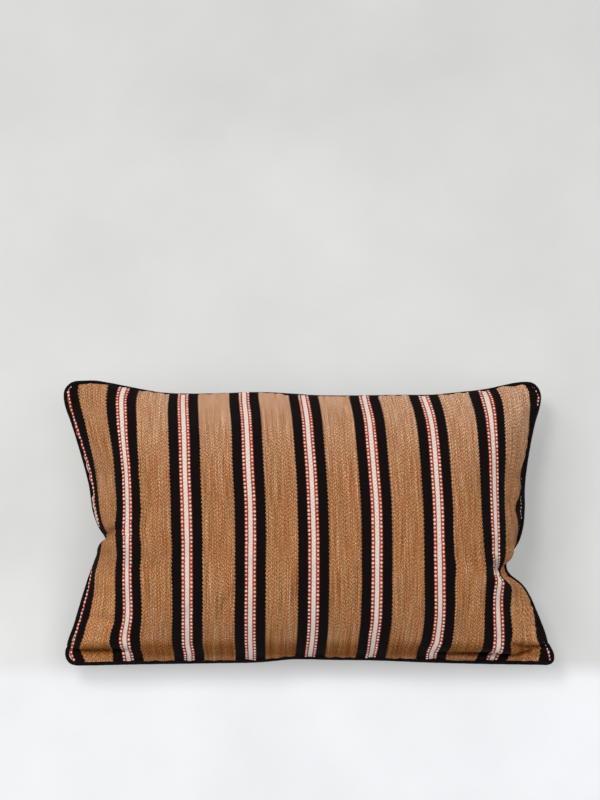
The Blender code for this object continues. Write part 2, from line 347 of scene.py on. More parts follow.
@dataclass
class FilledForm:
    """The seam line and both panels of the filled cushion, in millimetres."""

    front_crown: float = 72.0
    back_depth: float = 54.0
    flat_depth: float = 47.0
    flat_easing: float = 5.0
    dome_share: float = 0.11
    dome_reach: float = 140.0
    bottom_reach: float = 27.0
    top_reach: float = 35.0
    back_reach_factor: float = 1.5
    back_side_extra: float = 16.0
    back_end_reach: float = 36.0
    bulge_starts_at: float = 4.0
    bulge_full_at: float = 18.0
    bulge_fades_at: float = 55.0
    corner_droop: float = 7.0
    corner_sharpness: int = 5
    ripple_height: float = 1.6
    ripples_along: float = 3.0
    ripples_up: float = 2.0
    ripple_start_along: float = 0.6
    ripple_start_up: float = 1.1
    first_step: float = 0.45
    step_growth: float = 0.06
    widest_step: float = 2.7
    notch_height: float = -50.0
    notch_band: float = 34.0
    notch_step: float = 1.4
    steps_across: int = 264
    steps_up: int = 188

    # Seam line as x and y, from the middle of one rounded corner to the next
    left_seam = (
        (-289.0, -168.5), (-290.8, -162.0), (-289.0, -150.0), (-282.5, -134.0),
        (-271.5, -95.0), (-262.0, -64.0), (-254.0, -45.0), (-246.0, -31.5),
        (-242.0, -23.5), (-246.0, -15.5), (-253.0, -5.0), (-260.0, 14.0),
        (-265.0, 44.0), (-276.3, 84.0), (-289.6, 125.0), (-296.8, 144.0),
        (-299.5, 156.0), (-299.0, 163.0), (-295.5, 168.5),
    )
    right_seam = (
        (297.5, -169.5), (297.5, -163.0), (292.5, -153.0), (285.5, -134.0),
        (270.5, -96.0), (266.0, -87.5), (259.5, -79.5), (251.0, -73.0),
        (244.5, -67.0), (240.8, -58.5), (242.0, -47.0), (248.0, -37.0),
        (257.0, -23.5), (262.0, -8.0), (264.5, 14.0), (265.5, 44.0),
        (271.5, 84.0), (280.5, 125.0), (286.5, 144.0), (288.5, 154.0),
        (287.8, 162.0), (284.0, 168.0),
    )
    bottom_seam = (
        (-289.0, -168.5), (-284.0, -171.3), (-270.0, -171.8), (-200.0, -170.5),
        (-110.0, -169.2), (-62.0, -168.4), (-40.0, -166.6), (-22.0, -164.7),
        (0.0, -164.4), (28.0, -165.1), (80.0, -165.8), (150.0, -168.5),
        (215.0, -170.0), (285.0, -171.0), (294.0, -171.2), (297.5, -169.5),
    )
    top_seam = (
        (-295.5, 168.5), (-290.0, 171.5), (-282.0, 172.0), (-266.0, 172.0),
        (-248.0, 169.0), (-213.0, 162.0), (-180.0, 156.5), (-125.0, 155.0),
        (-55.0, 156.5), (-20.0, 155.0), (15.0, 153.0), (120.0, 153.0),
        (157.0, 153.5), (190.0, 157.0), (225.0, 161.5), (260.0, 169.3),
        (272.0, 171.0), (279.0, 170.7), (284.0, 168.0),
    )

    # Height on the side, then how far in from the left and from the right
    # seam the face takes to reach its crown
    side_reach = (
        (-170.0, 78.0, 52.0),
        (-117.0, 66.0, 40.0),
        (-75.0, 34.0, 12.0),
        (-30.0, 12.0, 14.0),
        (15.0, 26.0, 24.0),
        (60.0, 36.0, 28.0),
        (105.0, 46.0, 28.0),
        (172.0, 46.0, 28.0),
    )

    left_bulges = (Bulge(-30.0, 12.0, 6.5),)
    right_bulges = (Bulge(-45.0, 10.5, 9.5),)

    # How far the face is pushed out over the piping: place along the seam, push
    left_roll = (
        (-172.0, 0.8), (-150.0, 0.8), (-117.0, 1.8), (-82.0, 3.0), (-62.0, 5.5), (-44.0, 6.3),
        (-24.0, 5.0), (-4.0, 4.8), (19.0, 4.3), (40.0, 3.4), (66.0, 3.0), (90.0, 3.0),
        (120.0, 3.0), (141.0, 2.4), (158.0, 1.2), (172.0, 0.8),
    )
    right_roll = (
        (-172.0, 0.8), (-150.0, 1.5), (-135.0, 2.4), (-117.0, 3.2), (-70.0, 3.2), (-35.0, 3.6),
        (-18.0, 1.0), (40.0, 1.0), (62.0, 2.4), (100.0, 3.0), (125.0, 3.6), (155.0, 3.6),
        (166.0, 1.5), (172.0, 0.8),
    )
    bottom_roll = ((-292.0, 1.2), (-282.0, 2.4), (285.0, 2.4), (298.0, 1.2))
    top_roll = (
        (-298.0, 0.6), (-284.0, 2.5), (-260.0, 2.8), (-234.0, 3.4), (-210.0, 3.6), (-190.0, 4.8),
        (-75.0, 5.1), (-50.0, 4.3), (-20.0, 3.7), (15.0, 4.0), (60.0, 4.6), (180.0, 4.6),
        (216.0, 4.3), (250.0, 3.4), (270.0, 2.4), (287.0, 0.6),
    )
    roll_start: float = 1.6
    roll_reach: float = 26.0
    roll_lift: float = 1.5
    lift_start: float = 1.0
    lift_reach: float = 12.0
    ledge_depth: float = 0.95
    ledge_width: float = 4.5
    crease_hold: float = 0.3
    tuck_start: float = 2.0
    tuck_reach: float = 14.0
    tuck_lift: float = 1.9

    front_creases = (
        Crease((-297.0, -154.6), (-185.0, -156.2), 0.98, 7.5, 3.6, 0.45),
        Crease((292.0, -151.5), (236.0, -149.5), 0.94, 5.0, 3.2, 0.5),
        Crease((270.0, -157.0), (222.0, -165.0), 0.92, 4.6, 2.2, 0.6),
        Crease((252.0, -159.8), (110.0, -157.5), 0.86, 4.8, 2.4, 0.5),
        Crease((246.0, -63.0), (214.0, -58.0), 0.50, 6.0),
        Crease((-246.0, -25.0), (-222.0, -10.0), 0.34, 6.0),
        Crease((-282.0, -116.5), (-205.0, -129.0), 0.30, 6.5),
        Crease((-262.0, 150.0), (-200.0, 112.0), 0.07, 13.0),
        Crease((262.0, 147.0), (205.0, 108.0), 0.08, 13.0),
    )
    back_creases = (
        Crease((-290.0, -163.0), (-220.0, -150.0), 0.32, 8.0),
        Crease((292.0, -160.0), (228.0, -146.0), 0.30, 8.0),
        Crease((246.0, -57.0), (208.0, -50.0), 0.40, 8.0),
        Crease((-246.0, -24.0), (-212.0, -30.0), 0.34, 8.0),
        Crease((-290.0, 160.0), (-226.0, 128.0), 0.20, 12.0),
        Crease((280.0, 160.0), (218.0, 126.0), 0.20, 12.0),
    )
    front_dents = (
        Dent(263.0, 49.0, 12.0, 0.26),
        Dent(258.0, 18.0, 14.0, 0.34),
        Dent(-262.0, 52.0, 16.0, 0.12),
        Dent(-268.0, -82.0, 18.0, 0.12),
    )
    front_lumps = (
        Lump(-130.0, -50.0, 75.0, 2.6),
        Lump(40.0, 30.0, 90.0, -2.2),
        Lump(150.0, -70.0, 70.0, 2.4),
        Lump(-190.0, 70.0, 60.0, 1.6),
        Lump(10.0, -115.0, 80.0, 1.8),
        Lump(205.0, 80.0, 60.0, -1.8),
        Lump(-60.0, 95.0, 70.0, 1.4),
    )

    def __post_init__(self) -> None:
        """Trace the four sides and lay the grid out between them."""
        self.left = traced(self.left_seam)
        self.right = traced(self.right_seam)
        self.bottom = traced(self.bottom_seam)
        self.top = traced(self.top_seam)
        self.across, self.up = np.meshgrid(
            self.stations(self.bottom, self.steps_across, at_notch=False),
            self.stations(self.left, self.steps_up, at_notch=True),
        )
        self.plan = self.lay_out()
        self.seam_height = self.wave()

    def stations(self, side: np.ndarray, steps: int, at_notch: bool) -> np.ndarray:
        """Shares along a side, close together at its ends and at the notches.

        Args:
            side: The traced side.
            steps: Number of steps along it.
            at_notch: Whether the side has a notch that needs closer steps.

        Returns:
            Shares of the side's length, from 0 to 1.
        """
        travelled = arc_length(side)
        from_end = np.minimum(travelled, travelled[-1] - travelled)
        spacing = np.minimum(self.first_step + self.step_growth * from_end, self.widest_step)
        if at_notch:
            near = bell(side[:, 1] - self.notch_height, self.notch_band)
            spacing = np.minimum(spacing, self.widest_step - near * (self.widest_step - self.notch_step))
        counted = np.concatenate([[0.0], np.cumsum(np.diff(travelled) / spacing[:-1])])
        even = np.linspace(0.0, counted[-1], steps + 1)
        return np.interp(even, counted, travelled) / travelled[-1]

    def lay_out(self) -> np.ndarray:
        """Plan places: the four sides blended across the panel."""
        a = self.across[..., None]
        t = self.up[..., None]
        sides = (1 - a) * point_on(self.left, self.up) + a * point_on(self.right, self.up)
        ends = (1 - t) * point_on(self.bottom, self.across) + t * point_on(self.top, self.across)
        corners = (
            (1 - a) * (1 - t) * self.bottom[0]
            + a * (1 - t) * self.bottom[-1]
            + (1 - a) * t * self.top[0]
            + a * t * self.top[-1]
        )
        return sides + ends - corners

    def wave(self) -> np.ndarray:
        """How far the seam leaves its plane, blended across the panel."""
        towards_side = np.abs(2 * self.across - 1) ** self.corner_sharpness
        towards_end = np.abs(2 * self.up - 1) ** self.corner_sharpness
        ripple = np.sin(2 * np.pi * self.ripples_along * self.across + self.ripple_start_along)
        ripple = ripple + np.sin(2 * np.pi * self.ripples_up * self.up + self.ripple_start_up)
        return self.ripple_height * ripple - self.corner_droop * towards_side * towards_end

    def seam_distances(self) -> tuple[np.ndarray, np.ndarray, np.ndarray, np.ndarray]:
        """Distances from the left, right, bottom and top seam at every grid point."""
        width = np.linalg.norm(point_on(self.right, self.up) - point_on(self.left, self.up), axis=-1)
        height = np.linalg.norm(
            point_on(self.top, self.across) - point_on(self.bottom, self.across), axis=-1)
        return (
            self.across * width,
            (1 - self.across) * width,
            self.up * height,
            (1 - self.up) * height,
        )

    def fullness(self, side: PanelSide) -> np.ndarray:
        """Share of the crown at every point of a panel, from the distance to each seam."""
        rows = np.array(self.side_reach)
        left, right, bottom, top = self.seam_distances()
        level = self.plan[..., 1]
        share = np.ones_like(level)
        for distance, column in ((left, 1), (right, 2)):
            reach = eased_table(rows, column, level)
            if side is PanelSide.FRONT:
                wall = (1 - self.dome_share) * np.exp(-distance / reach)
                share = share * (1 - wall - self.dome_share * bell(distance, self.dome_reach))
            else:
                reach = reach * self.back_reach_factor + self.back_side_extra
                share = share * (1 - np.exp(-distance / reach))
        front = side is PanelSide.FRONT
        reaches = (self.bottom_reach, self.top_reach) if front else (self.back_end_reach,) * 2
        for distance, reach in zip((bottom, top), reaches):
            share = share * (1 - np.exp(-distance / reach))
        return share

    def beside(self, crease: Crease) -> tuple[np.ndarray, np.ndarray, np.ndarray]:
        """Where every grid point lies from a crease.

        Args:
            crease: The crease.

        Returns:
            Distance above the crease's line, share of the crease that is left
            there, and the direction square to the line and upwards.
        """
        start, end = np.array(crease.start), np.array(crease.end)
        length = np.linalg.norm(end - start)
        along = (end - start) / length
        upward = np.array([-along[1], along[0]]) * np.sign(along[0])
        away = self.plan - start
        run = away @ along
        fade = 1 - smoothstep((run / length - self.crease_hold) / (1 - self.crease_hold))
        fade = fade * bell(np.minimum(run, 0.0), crease.half_width)
        return away @ upward, fade, upward

    def clear_of_tucks(self) -> np.ndarray:
        """How far every point of the front panel lies clear of its tucked creases, from 0 to 1."""
        clear = np.ones_like(self.up)
        for crease in self.front_creases:
            if crease.tuck:
                above, fade, _ = self.beside(crease)
                clear = clear * (1 - fade * bell(above, self.tuck_reach))
        return clear

    def creased(self, share: np.ndarray, creases: tuple, dents: tuple) -> np.ndarray:
        """Take creases and dents out of the fullness.

        Args:
            share: Share of the crown at every point.
            creases: The panel's creases.
            dents: The panel's dents.

        Returns:
            The reduced share.
        """
        x, y = self.plan[..., 0], self.plan[..., 1]
        for crease in creases:
            above, fade, _ = self.beside(crease)
            width = crease.half_width * np.where(above > 0, crease.upper_share, 1.0)
            share = share * (1 - crease.depth * fade * bell(above, width))
        for dent in dents:
            share = share * (1 - dent.depth * bell(np.hypot(x - dent.x, y - dent.y), dent.radius))
        return share

    def bulged(self, height: np.ndarray) -> np.ndarray:
        """Plan places with the sides swelling out over the piping."""
        plan = self.plan.copy()
        lifted = smoothstep((height - self.bulge_starts_at) / (self.bulge_full_at - self.bulge_starts_at))
        for seam, bulges, outward in (
            (self.left, self.left_bulges, -1.0),
            (self.right, self.right_bulges, 1.0),
        ):
            inside = np.linalg.norm(self.plan - point_on(seam, self.up), axis=-1)
            near_seam = 1 - smoothstep(inside / self.bulge_fades_at)
            for bulge in bulges:
                push = bulge.overhang * bell(self.plan[..., 1] - bulge.middle, bulge.half_width)
                plan[..., 0] += outward * push * lifted * near_seam
        return plan

    def front(self) -> np.ndarray:
        """Points of the front panel, in millimetres."""
        share = self.creased(self.fullness(PanelSide.FRONT), self.front_creases, self.front_dents)
        height = self.front_crown * share
        for lump in self.front_lumps:
            distance = np.hypot(self.plan[..., 0] - lump.x, self.plan[..., 1] - lump.y)
            height = height + lump.height * share * bell(distance, lump.radius)
        return np.dstack([self.bulged(height), height + self.seam_height * (1 - share)])

    def back(self) -> np.ndarray:
        """Points of the back panel, flat where the cushion rests."""
        share = self.creased(self.fullness(PanelSide.BACK), self.back_creases, ())
        depth = self.back_depth * share - self.seam_height * (1 - share)
        over = np.clip((depth - self.flat_depth + self.flat_easing) / (2 * self.flat_easing), 0.0, 1.0)
        depth = np.minimum(depth, self.flat_depth + self.flat_easing) - self.flat_easing * over * over
        return np.dstack([self.plan, -depth])

    def rolled(self, points: np.ndarray) -> np.ndarray:
        """Roll the front panel over the piping and its creases.

        It is laid down beside the bottom seam.

        Args:
            points: Points of the front panel.

        Returns:
            The panel with its rolled edge.
        """
        rolled = points.copy()
        left, right, bottom, top = self.seam_distances()
        for crease in self.front_creases:
            above, fade, upward = self.beside(crease)
            lip = smoothstep(above / self.tuck_start)
            lip = crease.tuck * fade * lip * (1 - smoothstep((above - self.tuck_start) / self.tuck_reach))
            rolled[..., :2] -= lip[..., None] * upward
            inside = smoothstep(left / self.tuck_reach) * smoothstep(right / self.tuck_reach)
            rolled[..., 2] += self.tuck_lift * lip * inside
        x, y = self.plan[..., 0], self.plan[..., 1]
        lift = np.zeros_like(x)
        for distance, table, level, axis, outward in (
            (left, self.left_roll, y, 0, -1.0),
            (right, self.right_roll, y, 0, 1.0),
            (bottom, self.bottom_roll, x, 1, -1.0),
            (top, self.top_roll, x, 1, 1.0),
        ):
            past = distance - self.roll_start
            push = eased_table(np.array(table), 1, level)
            near = smoothstep(distance / self.roll_start)
            rolled[..., axis] += outward * push * near * (1 - smoothstep(past / self.roll_reach))
            near = smoothstep(distance / self.lift_start) * (1 - smoothstep(past / self.lift_reach))
            lift = np.maximum(lift, near * np.minimum(push, 1.0))
        ledge = 1 - self.ledge_depth * bell(bottom, self.ledge_width)
        rolled[..., 2] = self.seam_height + (rolled[..., 2] - self.seam_height) * ledge
        rolled[..., 2] += self.roll_lift * lift
        return rolled

    def seam_of(self, panel: np.ndarray) -> np.ndarray:
        """Points of a panel along the seam, once round."""
        return np.array([panel[place] for place in grid_rim(*self.up.shape)])


# The cloth and where its stripes run


@dataclass(frozen=True)
class StripedCloth:
    """The striped cotton, measured across its warp in millimetres.

    A repeat is a white line between two dotted red lines, a black band on each
    side of them and a tan band. Half widths are measured from a white line's
    middle.
    """

    repeat: float = 75.0
    white_half: float = 2.4
    dotted_half: float = 7.3
    black_half: float = 18.5
    dots_from_middle: float = 5.1
    dot_pitch: float = 4.8
    whole_stripes: int = 7
    left_cut: float = 3.5
    right_margin: float = 3.7

    @property
    def right_cut(self) -> float:
        """Cloth coordinate of the right side seam."""
        return (self.whole_stripes + 1) * self.repeat - self.right_margin


@dataclass(frozen=True)
class WarpLine:
    """Where one warp thread runs on the face: its cloth coordinate and points of its run."""

    cloth: float
    run: tuple[tuple[float, float], ...]


@dataclass
class ClothMap:
    """Cloth coordinates of both panels: u across the warp, v along it, in millimetres.

    The eye is the camera's place, measured like the tables.
    """

    cloth: StripedCloth
    eye: np.ndarray
    crossing_blur: float = 1.2
    edge_slack: float = 1.5
    thread_samples: int = 400
    thread_steps: int = 12

    # Warp threads from the bottom seam to the top, where the camera sees them on the seam's plane
    warp_lines = (
        WarpLine(5.1, (
            (-284.5, -170.0), (-288.0, -162.0), (-286.0, -151.0), (-277.0, -117.0), (-268.5, -82.0),
            (-264.5, -55.5), (-264.0, -44.0), (-261.0, -31.5), (-258.5, -23.5), (-255.5, -15.5),
            (-256.8, -4.0), (-259.2, 5.0), (-262.4, 19.0), (-264.8, 40.0), (-269.8, 65.5),
            (-277.0, 87.0), (-284.3, 110.0), (-294.5, 141.0), (-297.0, 154.5), (-298.5, 161.0),
            (-298.5, 168.5),
        )),
        WarpLine(18.5, (
            (-271.0, -171.0), (-274.5, -164.5), (-278.0, -155.0), (-274.5, -145.0), (-270.5, -129.5),
            (-266.0, -113.5), (-263.0, -97.0), (-261.5, -85.0), (-260.5, -65.5), (-258.0, -54.5),
            (-255.0, -42.0), (-253.5, -32.5), (-252.0, -26.0), (-249.0, -23.0), (-247.0, -18.5),
            (-246.0, -14.5), (-249.5, -9.0), (-254.0, 1.0), (-256.5, 13.5), (-258.0, 26.0),
            (-262.0, 57.0), (-266.0, 79.5), (-271.5, 101.5), (-276.0, 120.5), (-280.5, 137.0),
            (-284.5, 152.0), (-286.5, 164.5), (-285.5, 172.0),
        )),
        WarpLine(56.5, (
            (-237.0, -170.0), (-238.5, -156.0), (-241.5, -151.5), (-241.0, -140.0), (-236.5, -123.5),
            (-236.0, -60.5), (-234.5, -42.0), (-236.0, -26.0), (-237.5, -10.0), (-236.0, 18.0),
            (-238.5, 51.0), (-240.5, 76.0), (-244.5, 101.5), (-249.0, 127.0), (-251.0, 151.5),
            (-249.5, 169.5),
        )),
        WarpLine(75.0, (
            (-217.5, -170.5), (-219.5, -162.0), (-222.0, -153.5), (-223.5, -144.5), (-222.5, -134.5),
            (-220.5, -123.5), (-220.0, -109.5), (-221.5, -73.0), (-222.5, 16.0), (-224.5, 61.0),
            (-229.5, 106.5), (-231.5, 139.0), (-232.0, 152.0), (-231.0, 159.5), (-227.5, 169.0),
        )),
        WarpLine(150.0, (
            (-143.5, -170.0), (-144.0, -162.0), (-146.0, -153.0), (-146.5, -142.5), (-147.0, -109.5),
            (-148.0, -29.0), (-149.5, 16.0), (-151.5, 61.0), (-153.0, 106.0), (-155.0, 152.0),
            (-154.5, 160.0),
        )),
        WarpLine(225.0, (
            (-68.5, -168.5), (-69.0, -156.0), (-69.5, -142.5), (-69.5, -73.0), (-70.0, 16.5),
            (-72.5, 61.0), (-74.5, 106.0), (-76.0, 132.0), (-78.0, 149.5), (-78.5, 160.0),
        )),
        WarpLine(300.0, (
            (3.5, -166.0), (5.0, -156.5), (6.5, -145.5), (7.5, -131.5), (8.5, -73.0), (8.5, -28.5),
            (7.5, 16.0), (5.5, 61.0), (2.0, 106.0), (0.5, 126.5), (-2.5, 145.5), (-4.5, 156.5),
        )),
        WarpLine(375.0, (
            (77.5, -166.0), (80.0, -156.5), (82.0, -142.5), (84.5, -126.0), (85.5, -110.0),
            (86.5, -73.0), (86.5, 16.0), (83.5, 61.0), (80.0, 106.0), (78.0, 126.5), (74.0, 145.5),
            (71.5, 156.0),
        )),
        WarpLine(450.0, (
            (151.5, -169.0), (152.5, -162.0), (155.0, -156.5), (158.5, -150.0), (160.5, -139.0),
            (162.5, -125.5), (163.5, -109.5), (163.5, -29.0), (163.0, 16.0), (161.0, 61.0),
            (158.0, 106.5), (155.5, 124.0), (153.0, 135.5), (149.0, 148.0), (145.5, 157.0),
        )),
        WarpLine(506.5, (
            (206.0, -170.5), (209.0, -164.0), (211.6, -160.3), (214.1, -156.7), (216.2, -147.5),
            (217.3, -134.0), (217.6, -117.0), (218.8, -98.7), (219.9, -81.6), (220.6, -70.0),
            (220.4, -55.8), (218.8, -37.3), (217.6, -18.0), (216.8, 1.1), (216.0, 26.0),
            (215.4, 51.0), (214.5, 76.0), (213.6, 95.0), (212.6, 114.0), (210.0, 134.0),
            (206.0, 149.5), (202.5, 160.0),
        )),
        WarpLine(525.0, (
            (225.5, -170.5), (228.5, -163.0), (233.0, -159.5), (235.0, -148.0), (234.5, -126.0),
            (234.5, -94.5), (236.0, -83.5), (237.5, -75.5), (236.5, -69.5), (234.5, -65.5),
            (234.5, -55.5), (234.0, -44.5), (234.0, -17.5), (233.0, 38.5), (233.0, 77.0),
            (232.0, 106.0), (231.0, 119.0), (229.5, 133.5), (226.5, 147.0), (224.0, 157.0),
            (220.5, 164.0),
        )),
        WarpLine(532.4, (
            (233.0, -170.5), (235.5, -165.5), (240.5, -158.5), (242.5, -146.5), (242.0, -94.0),
            (243.0, -85.0), (243.5, -75.5), (241.0, -70.5), (236.5, -66.5), (235.5, -61.0),
            (237.5, -51.5), (238.5, -42.0), (238.5, 38.0), (239.0, 77.0), (238.0, 125.0),
            (237.0, 140.0), (234.5, 154.5), (229.0, 166.0),
        )),
        WarpLine(543.5, (
            (243.5, -171.0), (245.5, -168.0), (249.0, -161.5), (249.5, -150.0), (252.0, -138.5),
            (251.0, -124.5), (250.0, -105.0), (252.0, -89.0), (251.5, -80.5), (245.0, -74.0),
            (239.5, -67.5), (239.0, -61.0), (242.5, -51.5), (245.0, -42.0), (246.0, -18.0),
            (245.5, 43.5), (247.5, 77.5), (247.0, 125.5), (246.0, 140.0), (243.5, 154.5),
            (238.0, 166.0),
        )),
        WarpLine(581.5, (
            (282.5, -171.0), (284.5, -163.0), (286.0, -154.0), (281.5, -146.5), (280.5, -134.0),
            (277.5, -110.0), (271.5, -92.5), (263.0, -79.0), (253.0, -71.0), (248.0, -65.0),
            (249.0, -60.0), (253.0, -56.0), (257.0, -50.0), (258.5, -42.0), (257.5, -30.0),
            (260.0, -17.5), (261.0, -11.0), (260.0, 4.0), (258.0, 14.5), (259.5, 22.5), (262.5, 29.5),
            (264.5, 36.5), (265.5, 51.0), (265.5, 63.5), (268.5, 70.5), (273.0, 87.0), (277.5, 120.5),
            (278.5, 157.0), (276.0, 167.0), (273.0, 170.5),
        )),
        WarpLine(594.9, (
            (297.0, -169.0), (294.5, -158.5), (291.5, -149.0), (290.5, -127.0), (287.0, -110.0),
            (278.0, -85.0), (264.0, -70.0), (262.0, -50.0), (266.0, -30.0), (268.5, -14.0),
            (266.0, -5.0), (265.5, 22.0), (269.0, 30.0), (277.0, 45.0), (282.0, 84.0),
            (288.5, 125.0), (288.0, 141.5), (289.5, 152.0), (290.5, 162.0), (287.0, 169.0),
        )),
    )

    def sighted(self, points: np.ndarray) -> np.ndarray:
        """Places on the seam's plane where the camera sees points of the panel."""
        reach = self.eye[2] / (self.eye[2] - points[..., 2:])
        return self.eye[:2] + (points[..., :2] - self.eye[:2]) * reach

    def crossings(self, line: WarpLine, places: np.ndarray, travelled: np.ndarray) -> np.ndarray:
        """Find where a warp thread crosses each row of the panel.

        Args:
            line: The warp thread.
            places: The panel's points on the seam's plane.
            travelled: Length travelled along each row.

        Returns:
            Length along each row at the crossing.
        """
        drawn = traced(line.run, self.thread_samples, self.thread_steps)
        past = places[..., 0] - np.interp(places[..., 1], drawn[:, 1], drawn[:, 0])
        middle = past.shape[1] // 2
        found = []
        for values, lengths in zip(past, travelled):
            if values[middle] > 0:
                hits = np.nonzero(values[:middle] <= 0)[0]
                index = hits[-1] if len(hits) else 0
            else:
                hits = np.nonzero(values[middle:] > 0)[0]
                index = middle + hits[0] - 1 if len(hits) else len(values) - 2
            step = values[index + 1] - values[index]
            share = np.clip(-values[index] / step, 0.0, 1.0) if step else 0.0
            found.append((1 - share) * lengths[index] + share * lengths[index + 1])
        return np.array(found)

    def front_across(self, points: np.ndarray) -> np.ndarray:
        """Cloth coordinate across the warp on the front panel."""
        travelled = arc_length(points.transpose(1, 0, 2)).T
        travelled = travelled - travelled[:, points.shape[1] // 2, None]
        places = self.sighted(points)
        anchors = [self.crossings(line, places, travelled) for line in self.warp_lines]
        anchors = softened(np.stack(anchors, axis=1), self.crossing_blur, axes=(0,))
        lines_at = [line.cloth for line in self.warp_lines]
        across = np.empty_like(travelled)
        for row, ends in enumerate(travelled):
            places = np.concatenate([[ends[0]], anchors[row], [ends[-1]]])
            places = np.maximum.accumulate(places + TINY * np.arange(len(places)))
            # Past the outer threads the cloth keeps about its own size round the edge
            gaps = np.diff(places)
            first = min(self.cloth.left_cut, lines_at[0] + self.edge_slack - gaps[0])
            last = max(self.cloth.right_cut, lines_at[-1] - self.edge_slack + gaps[-1])
            across[row] = np.interp(ends, places, [first, *lines_at, last])
        return across

    def back_across(self, points: np.ndarray) -> np.ndarray:
        """Cloth coordinate across the warp on the back panel, even from seam to seam."""
        travelled = arc_length(points.transpose(1, 0, 2)).T
        share = travelled / travelled[:, -1:]
        return self.cloth.left_cut + share * (self.cloth.right_cut - self.cloth.left_cut)


def grid_rim(rows: int, columns: int) -> list[tuple[int, int]]:
    """Places on the rim of a grid, once round, anticlockwise."""
    ring = [(0, column) for column in range(columns)]
    ring += [(row, columns - 1) for row in range(1, rows)]
    ring += [(rows - 1, column) for column in range(columns - 2, -1, -1)]
    ring += [(row, 0) for row in range(rows - 2, 0, -1)]
    return ring


def joined_panels(front: np.ndarray, back: np.ndarray) -> tuple:
    """Join two panels of the same grid along the seam.

    Args:
        front: Points of the front panel.
        back: Points of the back panel.

    Returns:
        All points, the quads of both panels, and the point numbers of each panel's grid.
    """
    rows, columns = front.shape[:2]
    front_index = np.arange(rows * columns).reshape(rows, columns)
    shared = np.zeros((rows, columns), bool)
    for place in grid_rim(rows, columns):
        shared[place] = True
    back_index = front_index.copy()
    back_index[~shared] = rows * columns + np.arange(np.count_nonzero(~shared))
    points = np.vstack([front.reshape(-1, 3), back[~shared]])
    quads = [grid_quads(front_index), grid_quads(back_index)[:, ::-1]]
    return points, np.vstack(quads), front_index, back_index


def grid_quads(grid: np.ndarray) -> np.ndarray:
    """The four corners of every cell of a grid, anticlockwise, one row each."""
    corners = (grid[:-1, :-1], grid[:-1, 1:], grid[1:, 1:], grid[1:, :-1])
    return np.stack(corners, axis=2).reshape(-1, 4, *grid.shape[2:])


def unit(vectors: np.ndarray) -> np.ndarray:
    """The same directions at length 1."""
    return vectors / np.linalg.norm(vectors, axis=-1, keepdims=True)


def grid_normals(points: np.ndarray) -> np.ndarray:
    """Unit normals of a grid of points, towards the viewer of the front panel."""
    return unit(np.cross(np.gradient(points, axis=1), np.gradient(points, axis=0)))


def twice_as_fine(values: np.ndarray) -> np.ndarray:
    """Put a smooth value halfway between neighbours of a grid, in both directions."""
    result = values
    for axis in (0, 1):
        moved = np.moveaxis(result, axis, 0)
        wide = np.concatenate([moved[:1], moved, moved[-1:]])
        between = (9 * (wide[1:-2] + wide[2:-1]) - wide[:-3] - wide[3:]) / 16
        finer = np.empty((2 * len(moved) - 1,) + moved.shape[1:])
        finer[::2] = moved
        finer[1::2] = between
        result = np.moveaxis(finer, 0, axis)
    return result


# Finishes


